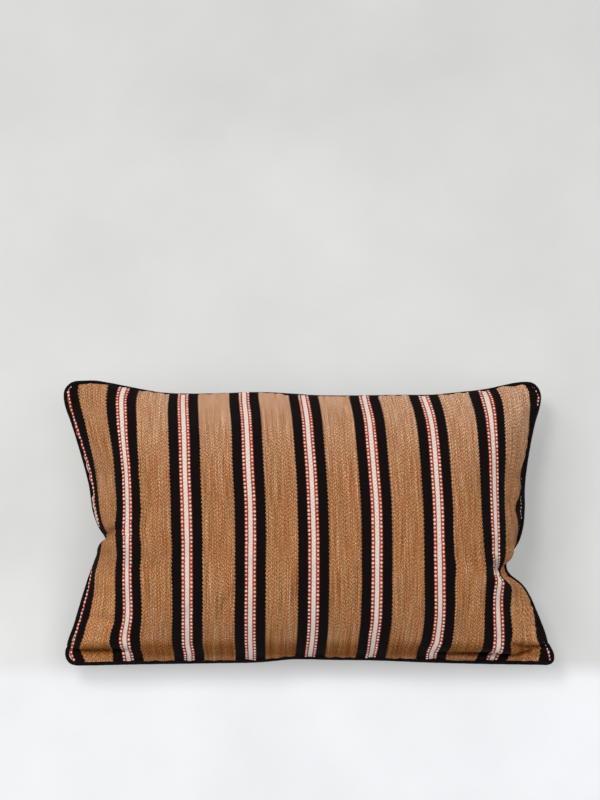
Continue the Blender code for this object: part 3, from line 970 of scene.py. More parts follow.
@dataclass(frozen=True)
class StripedCotton:
    """Handwoven warp-faced cotton: matt, faintly fuzzy, ribbed along the warp.

    Its stripes are dyed warp threads, so the colour streaks run along them, and
    the weft shows as small teeth where a band ends.
    """

    cloth: StripedCloth
    white: str = "#f8ece4"
    white_shade: str = "#c39a8c"
    orange_red: str = "#d26b45"
    red: str = "#b8452e"
    dark_red: str = "#451412"
    black: str = "#100a09"
    worn_black: str = "#201519"
    tan: str = "#aa744c"
    orange_tan: str = "#b77342"
    ochre_tan: str = "#a27950"
    pale_tan: str = "#be906a"
    brown_tan: str = "#8c6041"
    # Painted light: the paler tan mixed in towards the top of the face
    top_painted_light_tan: str = "#daae8c"
    # Painted shade: the tint that darkens the tan along the bottom seam
    painted_shade: str = "#cebc98"
    unshaded: str = "#ffffff"
    edge_softness: float = 0.25
    tooth_height: float = 0.75
    point_width: float = 6.2
    rib_pitch: float = 1.25
    pick_pitch: float = 1.9
    bump_height: float = 0.35
    bump_strength: float = 0.6
    thread_relief: float = 1.5
    twill_relief: float = 0.5

    # Grain: spots in a millimetre across and along the warp, finer layers and their share.
    # The streaks are unevenly dyed threads, some 3 mm wide and over 60 mm long.
    streak_grain = ((0.34, 0.006), 3.0, 0.75)
    thread_grain = ((1.0, 0.5), 2.0, 0.75)
    warp_grain = ((0.85, 0.014), 2.0, 0.7)

    # Ranges: the low and high end of what goes in, then what they turn into
    twill_light = (0.0, 1.0, 0.60, 1.40)
    thread_light = (0.3, 0.7, 0.14, 1.86)
    warp_light = (0.3, 0.7, 0.48, 1.52)
    # Painted light: where the tan turns paler towards the top, and how much by the side
    top_painted_light_up = (0.020, 0.200, 0.0)
    top_painted_light_sideways = (-0.25, -0.17, 0.15, 0.68)
    # Painted light: the tan brighter low down, most towards the sides
    low_painted_light_down = (-0.02, -0.10, 1.03)
    low_painted_light_sideways = (0.19, 0.24, 1.11, 1.27)
    # Painted shade: the band above the bottom seam where the tan is darkened
    painted_shade_place = (-0.172, -0.142)
    worn_black_share = (0.45, 0.75)
    rung_light = (1.1, 2.1, 1.0, 0.45)
    white_shading = (0.5, 0.9, 0.0)
    # Painted light: less twill shading on the white line low down
    white_painted_light_up = (-0.13, 0.0, 0.3, 0.6)
    roughness = (0.0, 1.0, 0.82, 0.97)

    # Ramps: place and colour of each stop
    tan_streaks = (
        (0.28, brown_tan), (0.38, tan), (0.44, ochre_tan), (0.50, orange_tan),
        (0.56, tan), (0.63, pale_tan), (0.72, brown_tan),
    )
    # Painted shade: white, the shade tint, then white again, up from the bottom seam
    painted_low_shade = ((0.12, unshaded), (0.28, painted_shade), (0.56, painted_shade), (0.88, unshaded))
    dotted_reds = ((0.34, orange_red), (0.46, red), (0.80, red), (0.97, dark_red))

    # Power for red, green and blue: raised threads show a paler colour, so blue changes most
    tan_tones = (0.79, 1.22, 1.63)

    def grain(self, tree: bpy.types.NodeTree, cloth: bpy.types.Node, scale: tuple[float, float],
              detail: float, roughness: float) -> bpy.types.Node:
        """Uneven grain of the threads, stretched along the warp.

        Args:
            tree: The material's node tree.
            cloth: Node that gives the cloth coordinates in millimetres.
            scale: Spots in a millimetre across and along the warp.
            detail: Finer layers of the grain.
            roughness: Share that each finer layer has.

        Returns:
            The node that gives the grain, about 0.5 on average.
        """
        place = add(tree, "ShaderNodeVectorMath", (cloth, (*scale, 1.0)), operation="MULTIPLY")
        return add(tree, "ShaderNodeTexNoise", {
            "Vector": place, "Scale": 1.0, "Detail": detail, "Roughness": roughness})

    def twill(self, tree: bpy.types.NodeTree, across: bpy.types.NodeSocket, along: bpy.types.NodeSocket,
              threads: bpy.types.Node) -> bpy.types.Node:
        """Pointed twill: slanting steps that turn back every few millimetres.

        Args:
            tree: The material's node tree.
            across: Cloth coordinate across the warp.
            along: Cloth coordinate along the warp.
            threads: Grain that makes the steps uneven.

        Returns:
            The node that gives the height of the steps, from 0 to 1.
        """
        pitch = self.cloth.dot_pitch
        slant = add(tree, "ShaderNodeMath", (across, self.point_width / 2), operation="PINGPONG")
        slanted = add(tree, "ShaderNodeMath", (slant, 2 * pitch / self.point_width, along),
                      operation="MULTIPLY_ADD")
        uneven = add(tree, "ShaderNodeMath", (threads, pitch, slanted), operation="MULTIPLY_ADD")
        steps = add(tree, "ShaderNodeMath", (uneven, pitch / 2), operation="PINGPONG")
        return add(tree, "ShaderNodeMath", (steps, 2 / pitch), operation="MULTIPLY")

    def tan_band(self, tree: bpy.types.NodeTree, cloth: bpy.types.Node, place: bpy.types.Node,
                 threads: bpy.types.Node, twill: bpy.types.Node) -> bpy.types.NodeSocket:
        """Colour of the tan band, with painted light: paler along the top, brighter low down and towards
        the sides; and painted shade along the bottom.

        Args:
            tree: The material's node tree.
            cloth: Cloth coordinates in millimetres.
            place: Object coordinates, taken apart.
            threads: Grain of single threads and picks.
            twill: Height of the twill's steps.

        Returns:
            The socket that gives the colour.
        """
        side, up = place.outputs["X"], place.outputs["Y"]
        tan = add(tree, "ShaderNodeValToRGB", (self.grain(tree, cloth, *self.streak_grain),))
        set_ramp(tan, self.tan_streaks)
        # Painted light: the tan is mixed towards a paler tan towards the top, less at the far left
        most_top_painted_light = add(tree, "ShaderNodeMapRange", (side, *self.top_painted_light_sideways))
        top_painted_light = add(tree, "ShaderNodeMapRange", (up, *self.top_painted_light_up, most_top_painted_light),
                    interpolation_type="SMOOTHSTEP")
        top_painted_light_tan = add(tree, "ShaderNodeMix", {0: top_painted_light, 6: tan, 7: linear(self.top_painted_light_tan)},
                        data_type="RGBA")
        warp_threads = self.grain(tree, cloth, *self.warp_grain)
        light = 1.0
        for share, limits in (
            (twill, self.twill_light), (threads, self.thread_light), (warp_threads, self.warp_light),
        ):
            part = add(tree, "ShaderNodeMapRange", (share, *limits))
            light = add(tree, "ShaderNodeMath", (light, part), operation="MULTIPLY")
        tones = [add(tree, "ShaderNodeMath", (light, power), operation="POWER") for power in self.tan_tones]
        toned = add(tree, "ShaderNodeCombineXYZ", tones)
        band = add(tree, "ShaderNodeVectorMath", (top_painted_light_tan.outputs[2], toned), operation="MULTIPLY")
        # Painted light: the tan is made brighter low down, most towards the sides
        sideways = add(tree, "ShaderNodeMath", (side,), operation="ABSOLUTE")
        side_low_painted_light = add(tree, "ShaderNodeMapRange", (sideways, *self.low_painted_light_sideways))
        low_painted_light = add(tree, "ShaderNodeMapRange", (up, *self.low_painted_light_down, side_low_painted_light))
        band = add(tree, "ShaderNodeVectorMath", {0: band, "Scale": low_painted_light}, operation="SCALE")
        # Painted shade: the tan darkened in a band just above the bottom seam
        low_place = add(tree, "ShaderNodeMapRange", (up, *self.painted_shade_place))
        painted_low_shade = add(tree, "ShaderNodeValToRGB", (low_place,))
        set_ramp(painted_low_shade, self.painted_low_shade)
        return add(tree, "ShaderNodeVectorMath", (band, painted_low_shade), operation="MULTIPLY").outputs[0]

    def black_band(self, tree: bpy.types.NodeTree, threads: bpy.types.Node) -> bpy.types.NodeSocket:
        """Colour of the black band, a little paler where its threads are worn."""
        share = add(tree, "ShaderNodeMapRange", (threads, *self.worn_black_share))
        return add(tree, "ShaderNodeMix", {
            0: share, 6: linear(self.black), 7: linear(self.worn_black)}, data_type="RGBA").outputs[2]

    def red_line(self, tree: bpy.types.NodeTree, middle: bpy.types.Node,
                 rung: bpy.types.Node) -> bpy.types.NodeSocket:
        """Colour of the dotted line: orange beside the white, dark between its floats and at the black.

        Args:
            tree: The material's node tree.
            middle: Distance from the white line's middle.
            rung: Distance from the nearest float's middle.

        Returns:
            The socket that gives the colour.
        """
        place = add(tree, "ShaderNodeMapRange", (middle, 0.0, self.cloth.dotted_half))
        red = add(tree, "ShaderNodeValToRGB", (place,))
        set_ramp(red, self.dotted_reds)
        light = add(tree, "ShaderNodeMapRange", (rung, *self.rung_light))
        return add(tree, "ShaderNodeVectorMath", {0: red, "Scale": light}, operation="SCALE").outputs[0]

    def white_line(self, tree: bpy.types.NodeTree, place: bpy.types.Node,
                   twill: bpy.types.Node) -> bpy.types.NodeSocket:
        """Colour of the white line, shaded in the twill's steps, with painted light: less of that shading
        low down.
        """
        # Painted light: the white line keeps less twill shading towards the bottom, so it is paler there
        most = add(tree, "ShaderNodeMapRange", (place.outputs["Y"], *self.white_painted_light_up))
        share = add(tree, "ShaderNodeMapRange", (twill, *self.white_shading, most))
        return add(tree, "ShaderNodeMix", {
            0: share, 6: linear(self.white), 7: linear(self.white_shade)}, data_type="RGBA").outputs[2]

    def material(self) -> bpy.types.Material:
        """Build the cloth's material on its cloth coordinates.

        Returns:
            The material.
        """
        material, tree, shader = new_material("handwoven_striped_cotton")
        cloth = cloth_place(tree)
        parts = add(tree, "ShaderNodeSeparateXYZ", (cloth,))
        across, along = parts.outputs["X"], parts.outputs["Y"]
        place = add(tree, "ShaderNodeSeparateXYZ", (add(tree, "ShaderNodeTexCoord").outputs["Object"],))
        half_pitch = self.cloth.dot_pitch / 2
        middle = add(tree, "ShaderNodeMath", (across, self.cloth.repeat / 2), operation="PINGPONG")
        rung = add(tree, "ShaderNodeMath", (along, half_pitch), operation="PINGPONG")
        teeth = add(tree, "ShaderNodeMapRange", (
            rung, 0.0, half_pitch, -self.tooth_height, self.tooth_height))
        toothed = add(tree, "ShaderNodeMath", (middle, teeth), operation="ADD")
        threads = self.grain(tree, cloth, *self.thread_grain)
        twill = self.twill(tree, across, along, threads)

        # Each band starts where the distance from the white line's middle passes its edge
        colour = self.white_line(tree, place, twill)
        for distance, edge, band in (
            (middle, self.cloth.white_half, self.red_line(tree, middle, rung)),
            (middle, self.cloth.dotted_half, self.black_band(tree, threads)),
            (toothed, self.cloth.black_half, self.tan_band(tree, cloth, place, threads, twill)),
        ):
            share = add(tree, "ShaderNodeMapRange", (
                distance, edge - self.edge_softness, edge + self.edge_softness),
                interpolation_type="SMOOTHSTEP")
            colour = add(tree, "ShaderNodeMix", {0: share, 6: colour, 7: band}, data_type="RGBA").outputs[2]

        # Warp ribs and weft picks, under the threads and the twill
        rib = add(tree, "ShaderNodeMath", (across, self.rib_pitch / 2), operation="PINGPONG")
        pick = add(tree, "ShaderNodeMath", (along, self.pick_pitch / 2), operation="PINGPONG")
        relief = add(tree, "ShaderNodeMath", (rib, pick), operation="ADD")
        for height, share in ((threads, self.thread_relief), (twill, self.twill_relief)):
            relief = add(tree, "ShaderNodeMath", (height, share, relief), operation="MULTIPLY_ADD")
        bump = add(tree, "ShaderNodeBump", {
            "Height": relief, "Strength": self.bump_strength, "Distance": self.bump_height * MM})
        rough = add(tree, "ShaderNodeMapRange", (threads, *self.roughness))
        finish_shader(
            tree, shader,
            {"Base Color": colour, "Normal": bump.outputs["Normal"], "Roughness": rough.outputs[0]},
            {"Specular IOR Level": 0.06, "Sheen Weight": 0.01, "Sheen Roughness": 0.6},
        )
        return material


@dataclass(frozen=True)
class BlackBiasCotton:
    """Black cotton cut on the bias and sewn round a cord: matt, with slanting ribs."""

    black: str = "#0b090a"
    worn_black: str = "#1b171b"
    rib_pitch: float = 1.5
    bump_height: float = 0.25
    bump_strength: float = 0.6
    spots_per_mm: float = 0.5
    spot_layers: float = 3.0
    spot_relief: float = 1.2
    worn_share: tuple[float, float] = (0.4, 0.7)

    def material(self) -> bpy.types.Material:
        """Build the piping's material on its cloth coordinates.

        Returns:
            The material.
        """
        material, tree, shader = new_material("black_bias_cut_cotton")
        cloth = cloth_place(tree)
        parts = add(tree, "ShaderNodeSeparateXYZ", (cloth,)).outputs
        slant = add(tree, "ShaderNodeMath", (parts["X"], parts["Y"]), operation="ADD")
        rib = add(tree, "ShaderNodeMath", (slant, self.rib_pitch / 2), operation="PINGPONG")
        spots = add(tree, "ShaderNodeTexNoise", {
            "Vector": cloth, "Scale": self.spots_per_mm, "Detail": self.spot_layers})
        share = add(tree, "ShaderNodeMapRange", (spots, *self.worn_share))
        colour = add(tree, "ShaderNodeMix", {
            0: share, 6: linear(self.black), 7: linear(self.worn_black)}, data_type="RGBA")
        height = add(tree, "ShaderNodeMath", (spots, self.spot_relief, rib), operation="MULTIPLY_ADD")
        bump = add(tree, "ShaderNodeBump", {
            "Height": height, "Strength": self.bump_strength, "Distance": self.bump_height * MM})
        finish_shader(
            tree, shader,
            {"Base Color": colour.outputs[2], "Normal": bump.outputs["Normal"]},
            {"Roughness": 0.85, "Specular IOR Level": 0.07, "Sheen Weight": 0.01, "Sheen Roughness": 0.6},
        )
        return material


@dataclass(frozen=True)
class FloatYarn:
    """Undyed cotton yarn that floats over the red line as round dots: cream and matt."""

    cream: str = "#fff1e6"
    shaded: str = "#f3b394"
    spots_per_metre: float = 240.0
    spot_layers: float = 1.0
    shaded_share: tuple[float, float] = (0.35, 0.75)

    def material(self) -> bpy.types.Material:
        """Build the yarn's material on object coordinates.

        Returns:
            The material.
        """
        material, tree, shader = new_material("undyed_cotton_yarn")
        place = add(tree, "ShaderNodeTexCoord")
        spots = add(tree, "ShaderNodeTexNoise", {
            "Vector": place.outputs["Object"], "Scale": self.spots_per_metre, "Detail": self.spot_layers})
        share = add(tree, "ShaderNodeMapRange", (spots, *self.shaded_share))
        colour = add(tree, "ShaderNodeMix", {
            0: share, 6: linear(self.cream), 7: linear(self.shaded)}, data_type="RGBA")
        finish_shader(
            tree, shader,
            {"Base Color": colour.outputs[2]},
            {"Roughness": 0.9, "Specular IOR Level": 0.2, "Sheen Weight": 0.1},
        )
        return material


@dataclass(frozen=True)
class PaleFloor:
    """A pale matt studio floor with faint cloudy mottling, painted lighter in front, with painted shade
    beside the cushion.
    """

    back: str = "#9b9c9b"
    front: str = "#a9aaac"
    glow_back: str = "#b0b1b0"
    glow_front: str = "#c6c8cb"
    clouds_per_metre: float = 4.0
    cloud_layers: float = 4.0
    cloud_layer_share: float = 0.55
    cushion_middle: tuple[float, float, float] = (0.030, -0.014, 0.0)
    cushion_half: tuple[float, float, float] = (0.235, 0.100, 0.0)

    # Ranges: the low and high end of what goes in, then what they turn into
    # Painted light: the floor turns lighter in front
    front_edge = (-0.166, -0.198)
    cloud_light = (0.3, 0.7, 0.945, 1.055)
    # Painted shade beside the cushion and at the far back, painted light towards the lower left
    light_beside = (0.0, 0.135, 0.755, 1.0)
    light_far_back = (0.40, 0.62, 1.0, 0.92)
    left_edge = (-0.285, -0.335)
    gain_nearer = (0.02, -0.13, 0.0, 0.15)

    def back_light(self, tree: bpy.types.NodeTree, place: bpy.types.NodeSocket,
                   parts: bpy.types.Node) -> bpy.types.Node:
        """Light on the back of the floor, brighter towards the lower left.

        Painted shade beside the cushion stands in for the room's light that it blocks, most on the right.

        Args:
            tree: The material's node tree.
            place: Object coordinates.
            parts: The same, taken apart.

        Returns:
            The node that gives the light, about 1.
        """
        away = add(tree, "ShaderNodeVectorMath", (place, self.cushion_middle), operation="SUBTRACT")
        away = add(tree, "ShaderNodeVectorMath", (away,), operation="ABSOLUTE")
        away = add(tree, "ShaderNodeVectorMath", (away, self.cushion_half), operation="SUBTRACT")
        away = add(tree, "ShaderNodeVectorMath", (away,), operation="MAXIMUM")
        away = add(tree, "ShaderNodeVectorMath", (away,), operation="LENGTH").outputs["Value"]
        side, up = parts.outputs["X"], parts.outputs["Y"]
        beside, far_back, leftward, nearer = (
            add(tree, "ShaderNodeMapRange", (value, *limits), interpolation_type="SMOOTHSTEP")
            for value, limits in (
                (away, self.light_beside), (up, self.light_far_back),
                (side, self.left_edge), (up, self.gain_nearer),
            )
        )
        gain = add(tree, "ShaderNodeMath", (leftward, nearer, 1.0), operation="MULTIPLY_ADD")
        light = add(tree, "ShaderNodeMath", (beside, far_back), operation="MULTIPLY")
        return add(tree, "ShaderNodeMath", (light, gain), operation="MULTIPLY")

    def material(self) -> bpy.types.Material:
        """Build the floor's material on object coordinates, in metres.

        Returns:
            The material.
        """
        material, tree, shader = new_material("pale_studio_floor")
        place = add(tree, "ShaderNodeTexCoord").outputs["Object"]
        parts = add(tree, "ShaderNodeSeparateXYZ", (place,))
        # Painted light: the floor is lighter in front
        forward = add(tree, "ShaderNodeMapRange", (parts.outputs["Y"], *self.front_edge),
                      interpolation_type="SMOOTHSTEP")
        clouds = add(tree, "ShaderNodeTexNoise", {
            "Vector": place, "Scale": self.clouds_per_metre, "Detail": self.cloud_layers,
            "Roughness": self.cloud_layer_share})
        light = add(tree, "ShaderNodeMapRange", (clouds, *self.cloud_light))
        back_light = self.back_light(tree, place, parts)

        # The glow stands in for the light that a pale room throws back, so that shadows stay faint
        links = {}
        for back, front, socket in (
            (self.back, self.front, "Base Color"),
            (self.glow_back, self.glow_front, "Emission Color"),
        ):
            dimmed = add(tree, "ShaderNodeVectorMath", {0: linear(back)[:3], "Scale": back_light},
                         operation="SCALE")
            colour = add(tree, "ShaderNodeMix", {0: forward, 6: dimmed, 7: linear(front)}, data_type="RGBA")
            clouded = add(tree, "ShaderNodeVectorMath", {0: colour.outputs[2], "Scale": light},
                          operation="SCALE")
            links[socket] = clouded.outputs[0]
        values = {"Emission Strength": 1.0, "Roughness": 0.95, "Specular IOR Level": 0.1}
        finish_shader(tree, shader, links, values)
        return material


# Pieces


@dataclass
class Cover:
    """The sewn and filled cover: both panels as one closed padded piece."""

    form: FilledForm
    cloth: StripedCloth
    offset: np.ndarray
    eye: np.ndarray
    sim_frames: int = 20
    resting_within: float = 0.5
    wrinkle_width: float = 9.0
    movement_cap: float = 3.0
    pucker_height: float = 0.45
    pucker_start: float = 1.5
    pucker_reach: float = 9.0
    pucker_shift: float = 1.7
    sharp_angle: float = 62.0
    bake_height: float = 0.49
    bake_front_from: float = 0.505

    # Wave length along the seam and share of the pucker height
    pucker_waves = ((13.0, 0.45), (8.3, 0.3), (29.0, 0.4), (47.0, 0.25))

    # The simulation's settings: pressure fills the cover, and cloth with a negative shrink grows
    cloth_settings = (
        ("quality", 6), ("mass", 0.2), ("tension_stiffness", 12.0), ("compression_stiffness", 12.0),
        ("shear_stiffness", 4.0), ("bending_stiffness", 0.4), ("vertex_group_mass", "sewn"),
        ("use_pressure", True), ("uniform_pressure_force", 4.0), ("shrink_min", -0.02),
    )

    def settled(self, front: np.ndarray, back: np.ndarray) -> tuple[np.ndarray, np.ndarray]:
        """Inflate the cover as cloth with its seam held, and keep the wrinkles that form.

        The simulation runs on every second grid line. Only movement finer than
        the wrinkle width is kept, capped, so that the filled form stays.

        Args:
            front: Points of the front panel.
            back: Points of the back panel.

        Returns:
            Both panels with their wrinkles.
        """
        coarse = (front[::2, ::2], back[::2, ::2])
        points, quads, front_index, back_index = joined_panels(*coarse)
        piece = mesh_object("settling", (points + self.offset) * MM, quads)
        held = piece.vertex_groups.new(name="sewn")
        sewn = [front_index[place] for place in grid_rim(*front_index.shape)]
        resting = back_index[coarse[1][..., 2] < -self.form.flat_depth + self.resting_within]
        held.add([int(index) for index in (*sewn, *resting)], 1.0, "REPLACE")
        modifier = piece.modifiers.new("Cloth", "CLOTH")
        for name, value in self.cloth_settings:
            setattr(modifier.settings, name, value)
        modifier.settings.effector_weights.gravity = 0.0
        modifier.point_cache.frame_start = 1
        modifier.point_cache.frame_end = self.sim_frames
        for number in range(1, self.sim_frames + 1):
            bpy.context.scene.frame_set(number)
        moved = np.zeros(len(points) * 3, np.float32)
        evaluated = piece.evaluated_get(bpy.context.evaluated_depsgraph_get())
        evaluated.data.vertices.foreach_get("co", moved)
        moved = moved.reshape(-1, 3) / MM - self.offset - points
        mesh = piece.data
        bpy.data.objects.remove(piece)
        bpy.data.meshes.remove(mesh)
        bpy.context.scene.frame_set(1)
        clear = self.form.clear_of_tucks()[..., None]
        return (
            front + clear * twice_as_fine(self.wrinkles(moved[front_index])),
            back + twice_as_fine(self.wrinkles(moved[back_index])),
        )

    def wrinkles(self, moved: np.ndarray) -> np.ndarray:
        """Keep the fine, capped part of a movement.

        Args:
            moved: Movement of each point of a panel's grid.

        Returns:
            The part that is kept.
        """
        fine = moved - softened(moved, self.wrinkle_width)
        size = np.linalg.norm(fine, axis=-1, keepdims=True)
        log.info("largest wrinkle movement %.2f mm, typical %.2f mm", size.max(), np.median(size))
        fine = fine * self.movement_cap / np.maximum(size, self.movement_cap)
        edge = np.zeros(moved.shape[:2])
        edge[1:-1, 1:-1] = 1.0
        return fine * edge[..., None]

    def puckered(self, points: np.ndarray, side: PanelSide) -> np.ndarray:
        """Gather the cloth a little along the seam, unevenly.

        Args:
            points: Points of a panel.
            side: Which panel it is.

        Returns:
            The panel with its gathers.
        """
        left, right, bottom, top = self.form.seam_distances()
        lift = np.zeros_like(left)
        pairs = ((left, bottom), (right, bottom), (bottom, left), (top, left))
        for number, (distance, along) in enumerate(pairs):
            shift = number * self.pucker_shift
            waves = sum(
                share * np.sin(2 * np.pi * along / length + shift + length * side.value)
                for length, share in self.pucker_waves
            )
            start = 1 - np.exp(-distance / self.pucker_start)
            lift = lift + waves * np.exp(-distance / self.pucker_reach) * start
        return points + side.value * self.pucker_height * lift[..., None] * grid_normals(points)

    def build(self) -> tuple[bpy.types.Object, np.ndarray, np.ndarray, dict]:
        """Build the cover's mesh with its maps.

        Returns:
            The object, the front and the back panel's points in millimetres,
            and each panel's cloth coordinates.
        """
        front, back = self.form.front(), self.form.back()
        front, back = self.settled(front, back)
        front = self.form.rolled(self.puckered(front, PanelSide.FRONT))
        back = self.puckered(back, PanelSide.BACK)
        back[..., 2] = np.maximum(back[..., 2], -self.form.flat_depth)
        points, quads, _, _ = joined_panels(front, back)
        piece = mesh_object("cover", (points + self.offset) * MM, quads)
        cloth_map = ClothMap(self.cloth, self.eye)
        maps = {
            PanelSide.FRONT: np.dstack([cloth_map.front_across(front), arc_length(front)]),
            PanelSide.BACK: np.dstack([cloth_map.back_across(back), arc_length(back)]),
        }
        front_corners = grid_quads(maps[PanelSide.FRONT])
        back_corners = grid_quads(maps[PanelSide.BACK])[:, ::-1]
        cloth_corners = np.vstack([front_corners, back_corners]) * MM
        write_map(piece.data, CLOTH_MAP, cloth_corners)
        spread = (cloth_corners - cloth_corners.min(axis=(0, 1))) / np.ptp(cloth_corners, axis=(0, 1))
        spread[:, :, 1] *= self.bake_height
        spread[:len(front_corners), :, 1] += self.bake_front_from
        write_map(piece.data, BAKE_MAP, spread)
        piece.data.shade_smooth()
        piece.data.set_sharp_from_angle(angle=np.radians(self.sharp_angle))
        return piece, front, back, maps

    def dress(self, piece: bpy.types.Object) -> None:
        piece.data.materials.append(StripedCotton(self.cloth).material())
        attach(piece, BODY)
        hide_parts("cushion")


@dataclass
class Piping:
    """The corded edge: a closed tube of bias-cut cloth along the seam."""

    offset: np.ndarray
    radius: float = 2.6
    gap: float = 0.1
    sides: int = 14
    step: float = 1.35
    ripple: float = 0.07
    path_blur: float = 2.0
    bake_rows: int = 12
    bake_margin: float = 0.03

    # Wave length along the cord and share of the ripple
    ripple_waves = ((6.1, 0.4), (9.7, 0.35), (23.0, 0.5))

    def path(self, seam: np.ndarray) -> np.ndarray:
        """Middle of the cord: the seam moved outwards and evenly spaced.

        Args:
            seam: Points of the seam, once round, in millimetres.

        Returns:
            Evenly spaced points of the cord's middle, once round.
        """
        ahead = np.roll(seam, -1, axis=0) - np.roll(seam, 1, axis=0)
        moved = seam.copy()
        moved[:, :2] += (self.radius + self.gap) * unit(np.column_stack([ahead[:, 1], -ahead[:, 0]]))
        closed = np.vstack([moved, moved[:1]])
        travelled = arc_length(closed)
        count = int(round(travelled[-1] / self.step))
        even = np.linspace(0.0, travelled[-1], count, endpoint=False)
        line = np.column_stack([np.interp(even, travelled, closed[:, axis]) for axis in range(3)])
        reach = int(BLUR_TAIL * self.path_blur)
        wrapped = np.vstack([line[-reach:], line, line[:reach]])
        return softened(wrapped, self.path_blur, axes=(0,))[reach:-reach]

    def build(self, seam: np.ndarray) -> bpy.types.Object:
        """Build the tube with its maps.

        Args:
            seam: Points of the seam, once round, in millimetres.

        Returns:
            The piping's object.
        """
        line = self.path(seam)
        count = len(line)
        ahead = unit(np.roll(line, -1, axis=0) - np.roll(line, 1, axis=0))
        outward = unit(np.cross(ahead, (0.0, 0.0, 1.0)))
        upward = np.cross(outward, ahead)
        travelled = np.arange(count) * self.step
        angles = 2 * np.pi * np.arange(self.sides) / self.sides
        slanted = travelled[:, None] + self.radius * angles[None, :]
        around = sum(
            share * np.sin(2 * np.pi * slanted / length + length) for length, share in self.ripple_waves)
        radius = self.radius * (1 + self.ripple * around / 2) - self.ripple
        ring = (
            np.cos(angles)[None, :, None] * outward[:, None, :]
            + np.sin(angles)[None, :, None] * upward[:, None, :]
        )
        points = line[:, None, :] + radius[..., None] * ring
        index = np.arange(count * self.sides).reshape(count, self.sides)
        index = np.vstack([index, index[:1]])
        index = np.hstack([index, index[:, :1]])
        piece = mesh_object("edge_piping", (points.reshape(-1, 3) + self.offset) * MM, grid_quads(index))
        length_at = np.arange(count + 1) * self.step
        girth_at = 2 * np.pi * self.radius * np.arange(self.sides + 1) / self.sides
        cloth = np.stack(np.broadcast_arrays(length_at[:, None], girth_at[None, :]), axis=-1)
        corners = grid_quads(cloth)
        write_map(piece.data, CLOTH_MAP, corners * MM)
        row_length = np.ceil(count / self.bake_rows) * self.step
        first = corners[:, :1, 0]
        row = np.floor(first / row_length + TINY)
        height = self.bake_margin + (1 - 2 * self.bake_margin) * corners[..., 1] / girth_at[-1]
        bake = np.empty_like(corners)
        bake[..., 0] = (corners[..., 0] - row * row_length) / row_length
        bake[..., 1] = (row + height) / self.bake_rows
        write_map(piece.data, BAKE_MAP, bake)
        piece.data.shade_smooth()
        return piece

    def dress(self, piece: bpy.types.Object) -> None:
        piece.data.materials.append(BlackBiasCotton().material())
        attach(piece, BODY)
        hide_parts("piping")


